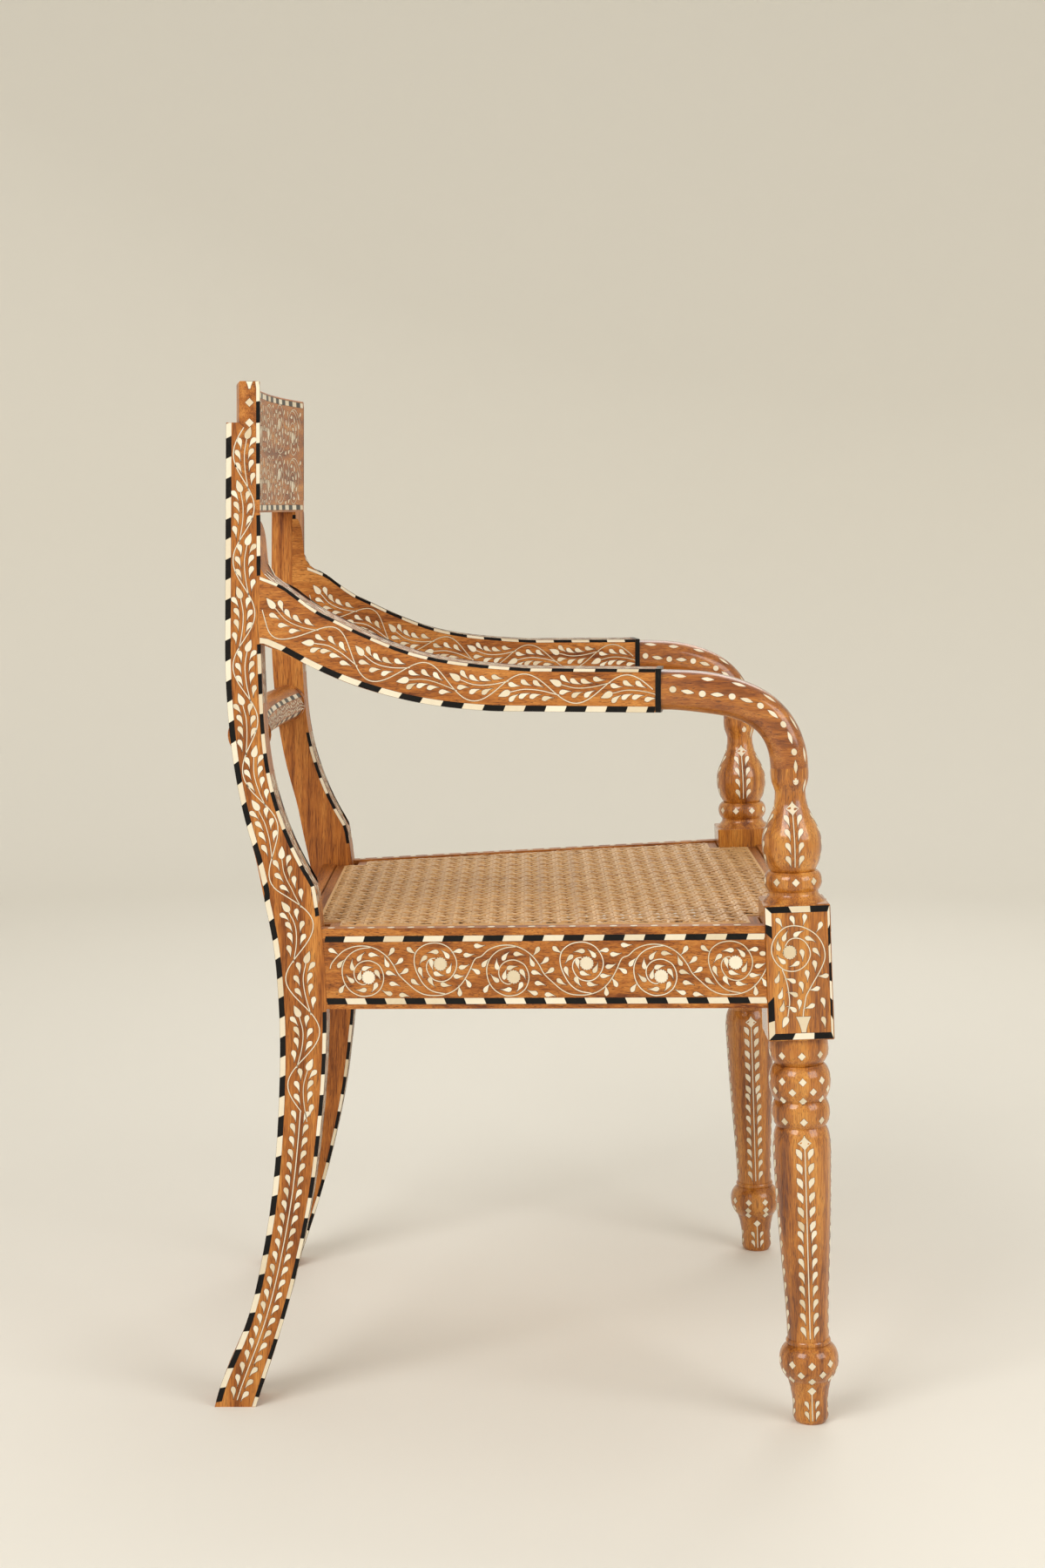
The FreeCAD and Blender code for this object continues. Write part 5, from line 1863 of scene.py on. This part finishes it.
@dataclass
class CaneSeat:
    """Six-way cane: woven pairs both ways, and single strands on both diagonals."""

    pitch: float = 16 * MM
    pair_gap: float = 3.1 * MM
    strand_width: float = 2.7 * MM
    strand_thickness: float = 0.9 * MM
    pair_rise: float = 0.55 * MM
    diagonal_rise: float = 0.6 * MM
    below_sheet: float = 0.5 * MM
    wobble: float = 0.25 * MM
    wobble_pitches: float = 5.0
    wobble_phases: float = 6.3
    stations_per_pitch: int = 6
    strands_each_way: int = 40
    diagonals_each_way: int = 60
    seed: int = 7

    def strands(self, ground: FlatFace, offsets: Array, way: Array, wave: float, rise: float) -> list:
        """Work out the parallel strands of one set.

        A strand's height is rise * sin(2 pi * length along / repeat + wave); its middle line
        wanders by a slow sine.

        Args:
            ground: The flat top of the seat.
            offsets: Each strand's distance from the ground's origin, across its way.
            way: The flat way the strands run.
            wave: The phase of the weave's height.
            rise: The height over and under the strands it crosses.

        Returns:
            For each strand its shape and the heights at its stations.
        """
        aside = np.array([-way[1], way[0]])
        spots = offsets[:, None] * aside
        pairs = ground.reaches(spots, way)[:, :4].reshape(-1, 2)
        repeat = self.pitch / np.abs(way).max()
        random = np.random.default_rng(self.seed)
        kept = pairs[:, 1] - pairs[:, 0] > self.pitch / 2
        found = []
        for spot, pair in zip(np.repeat(spots, 2, axis=0)[kept], pairs[kept]):
            count = int((pair[1] - pair[0]) / repeat * self.stations_per_pitch) + 2
            run = np.linspace(*pair, count)
            phase = random.uniform(0, self.wobble_phases)
            drift = self.wobble * np.sin(run / (self.wobble_pitches * self.pitch) + phase)
            line = spot + run[:, None] * way + drift[:, None] * aside
            shape = line[:, None] + (COLUMNS / 2 * self.strand_width)[:, None] * aside
            found.append((shape, rise * np.sin(2 * math.pi * run / repeat + wave)))
        return found

    def build(self) -> None:
        """Weave the four sets and put them in place of the solid sheet."""
        ground = FlatFace(["cane_panel"], UP, SEAT_FRONT)
        ground.keep_outline()
        slope = math.sqrt(0.5)
        straight = np.arange(-self.strands_each_way, self.strands_each_way + 1) * self.pitch
        diagonal = np.arange(-self.diagonals_each_way, self.diagonals_each_way + 1) + 0.5
        diagonal = diagonal * self.pitch * slope
        pair = ((straight - self.pair_gap / 2, 0.0), (straight + self.pair_gap / 2, math.pi))
        sets = (
            ("front_to_back", (1.0, 0.0), pair, self.pair_rise),
            ("side_to_side", (0.0, 1.0), pair, self.pair_rise),
            ("rising_diagonal", (slope, slope), ((diagonal, math.pi / 2),), self.diagonal_rise),
            ("falling_diagonal", (slope, -slope), ((diagonal, -math.pi / 2),), self.diagonal_rise),
        )
        half_thick = self.strand_thickness / 2
        for number, (name, way, rows, rise) in enumerate(sets):
            pile = Pile(self.seed + number)
            for offsets, wave in rows:
                for shape, height in self.strands(ground, offsets, np.array(way), wave, rise):
                    lift = (height - self.below_sheet)[None, :, None, None]
                    pile.add(*plates(ground, shape[None], lift + half_thick, half_thick - lift))
            piece = pile.make(f"cane_{name}", CANE, "cane", mirrored=False)
            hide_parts("cane_panel")
        dress(["cane_spline"], CANE.material())


@dataclass
class Studio:
    """A pale round cove, soft lamps and the camera of the photograph.

    A lamp is its place, the length of its side and its power in watts.
    """

    cove_radius: float = 3.7
    cove_bend: float = 0.8
    cove_height: float = 4.5
    bend_stations: int = 13
    sides: int = 96
    backdrop: Plain = Plain("backdrop", linear(235, 231, 221), 0.9)
    focal_pixels: float = 2968.0
    picture_height: float = 1800.0
    horizon_pixel: float = 580.0
    sensor: float = 36.0
    eye: tuple = (-2.517, 0.0, 0.798)
    lamps: tuple = (
        ("key", (-2.3, 1.5, 2.3), 1.6, 50),
        ("fill", (-1.8, -2.1, 1.7), 1.6, 30),
        ("rim", (2.2, -0.6, 2.6), 1.8, 26),
    )
    lamp_aim: tuple = (0.0, 0.0, 0.5)
    world_colour: tuple = (1.0, 0.98, 0.95, 1.0)
    world_level: float = 0.46

    def cove(self) -> None:
        """Make the floor, which bends up into a round wall.

        Radius and height follow a flat floor, a quarter circle and a straight wall, turned about Z.
        """
        turn = np.linspace(0, math.pi / 2, self.bend_stations)
        flat = self.cove_radius - self.cove_bend
        radius = np.concatenate([[0.0, flat / 2], flat + self.cove_bend * np.sin(turn), [self.cove_radius]])
        height = np.concatenate([[0, 0], self.cove_bend * (1 - np.cos(turn)), [self.cove_height]])
        around = np.linspace(0, 2 * math.pi, self.sides, endpoint=False)
        radius, height = radius[:, None], height[:, None]
        corners = points(radius * np.cos(around), radius * np.sin(around), height)
        low = np.arange(len(radius) - 1)[:, None] * self.sides
        high = low + self.sides
        here = np.arange(self.sides)
        after = (here + 1) % self.sides
        faces = points(low + here, high + here, high + after, low + after).reshape(-1, 4)
        make_piece("studio_cove", corners.reshape(-1, 3), faces, self.backdrop.material())

    def lamp(self, name: str, place: tuple, size: float, power: float) -> None:
        """Hang one soft square lamp that points at the chair.

        Args:
            name: The lamp's name.
            place: Where it hangs.
            size: The length of its side.
            power: Its power in watts.
        """
        data = bpy.data.lights.new(name, "AREA")
        data.shape = "SQUARE"
        data.size = size
        data.energy = power
        lamp = bpy.data.objects.new(name, data)
        way = Vector(self.lamp_aim) - Vector(place)
        lamp.location = place
        lamp.rotation_euler = way.to_track_quat("-Z", "Y").to_euler()
        bpy.context.scene.collection.objects.link(lamp)

    def world(self) -> None:
        """Give the world an even light."""
        world = bpy.data.worlds.new("studio_world")
        bpy.context.scene.world = world
        world.use_nodes = True
        background = world.node_tree.nodes["Background"]
        background.inputs["Color"].default_value = self.world_colour
        background.inputs["Strength"].default_value = self.world_level

    def camera(self) -> None:
        """Set the level camera that looks square at the chair's side."""
        data = bpy.data.cameras.new("camera")
        data.sensor_width = self.sensor
        data.lens = self.focal_pixels / self.picture_height * self.sensor
        data.shift_y = (self.horizon_pixel - self.picture_height / 2) / self.picture_height
        camera = bpy.data.objects.new("camera", data)
        camera.location = self.eye
        camera.rotation_euler = (math.pi / 2, 0, -math.pi / 2)
        bpy.context.scene.collection.objects.link(camera)
        bpy.context.scene.camera = camera

    def build(self) -> None:
        """Set up the cove, the lamps, the world and the camera."""
        bpy.context.scene.view_settings.view_transform = "Standard"
        self.cove()
        for lamp in self.lamps:
            self.lamp(*lamp)
        self.world()
        self.camera()


def main() -> None:
    """Dress the chair and light it."""
    logging.basicConfig(level=logging.INFO, format="%(name)s: %(message)s")
    ChairFrame().build()
    CaneSeat().build()
    inlays = (RearPostInlay(), CrestInlay(), BarInlay(), ArmInlay(), KnuckleInlay())
    for inlay in (*inlays, SideRailInlay(), FrontRailInlay(), BlockInlay(), LegInlay()):
        inlay.build()
        inlay.make()
    Studio().build()


if __name__ == "__main__":
    main()
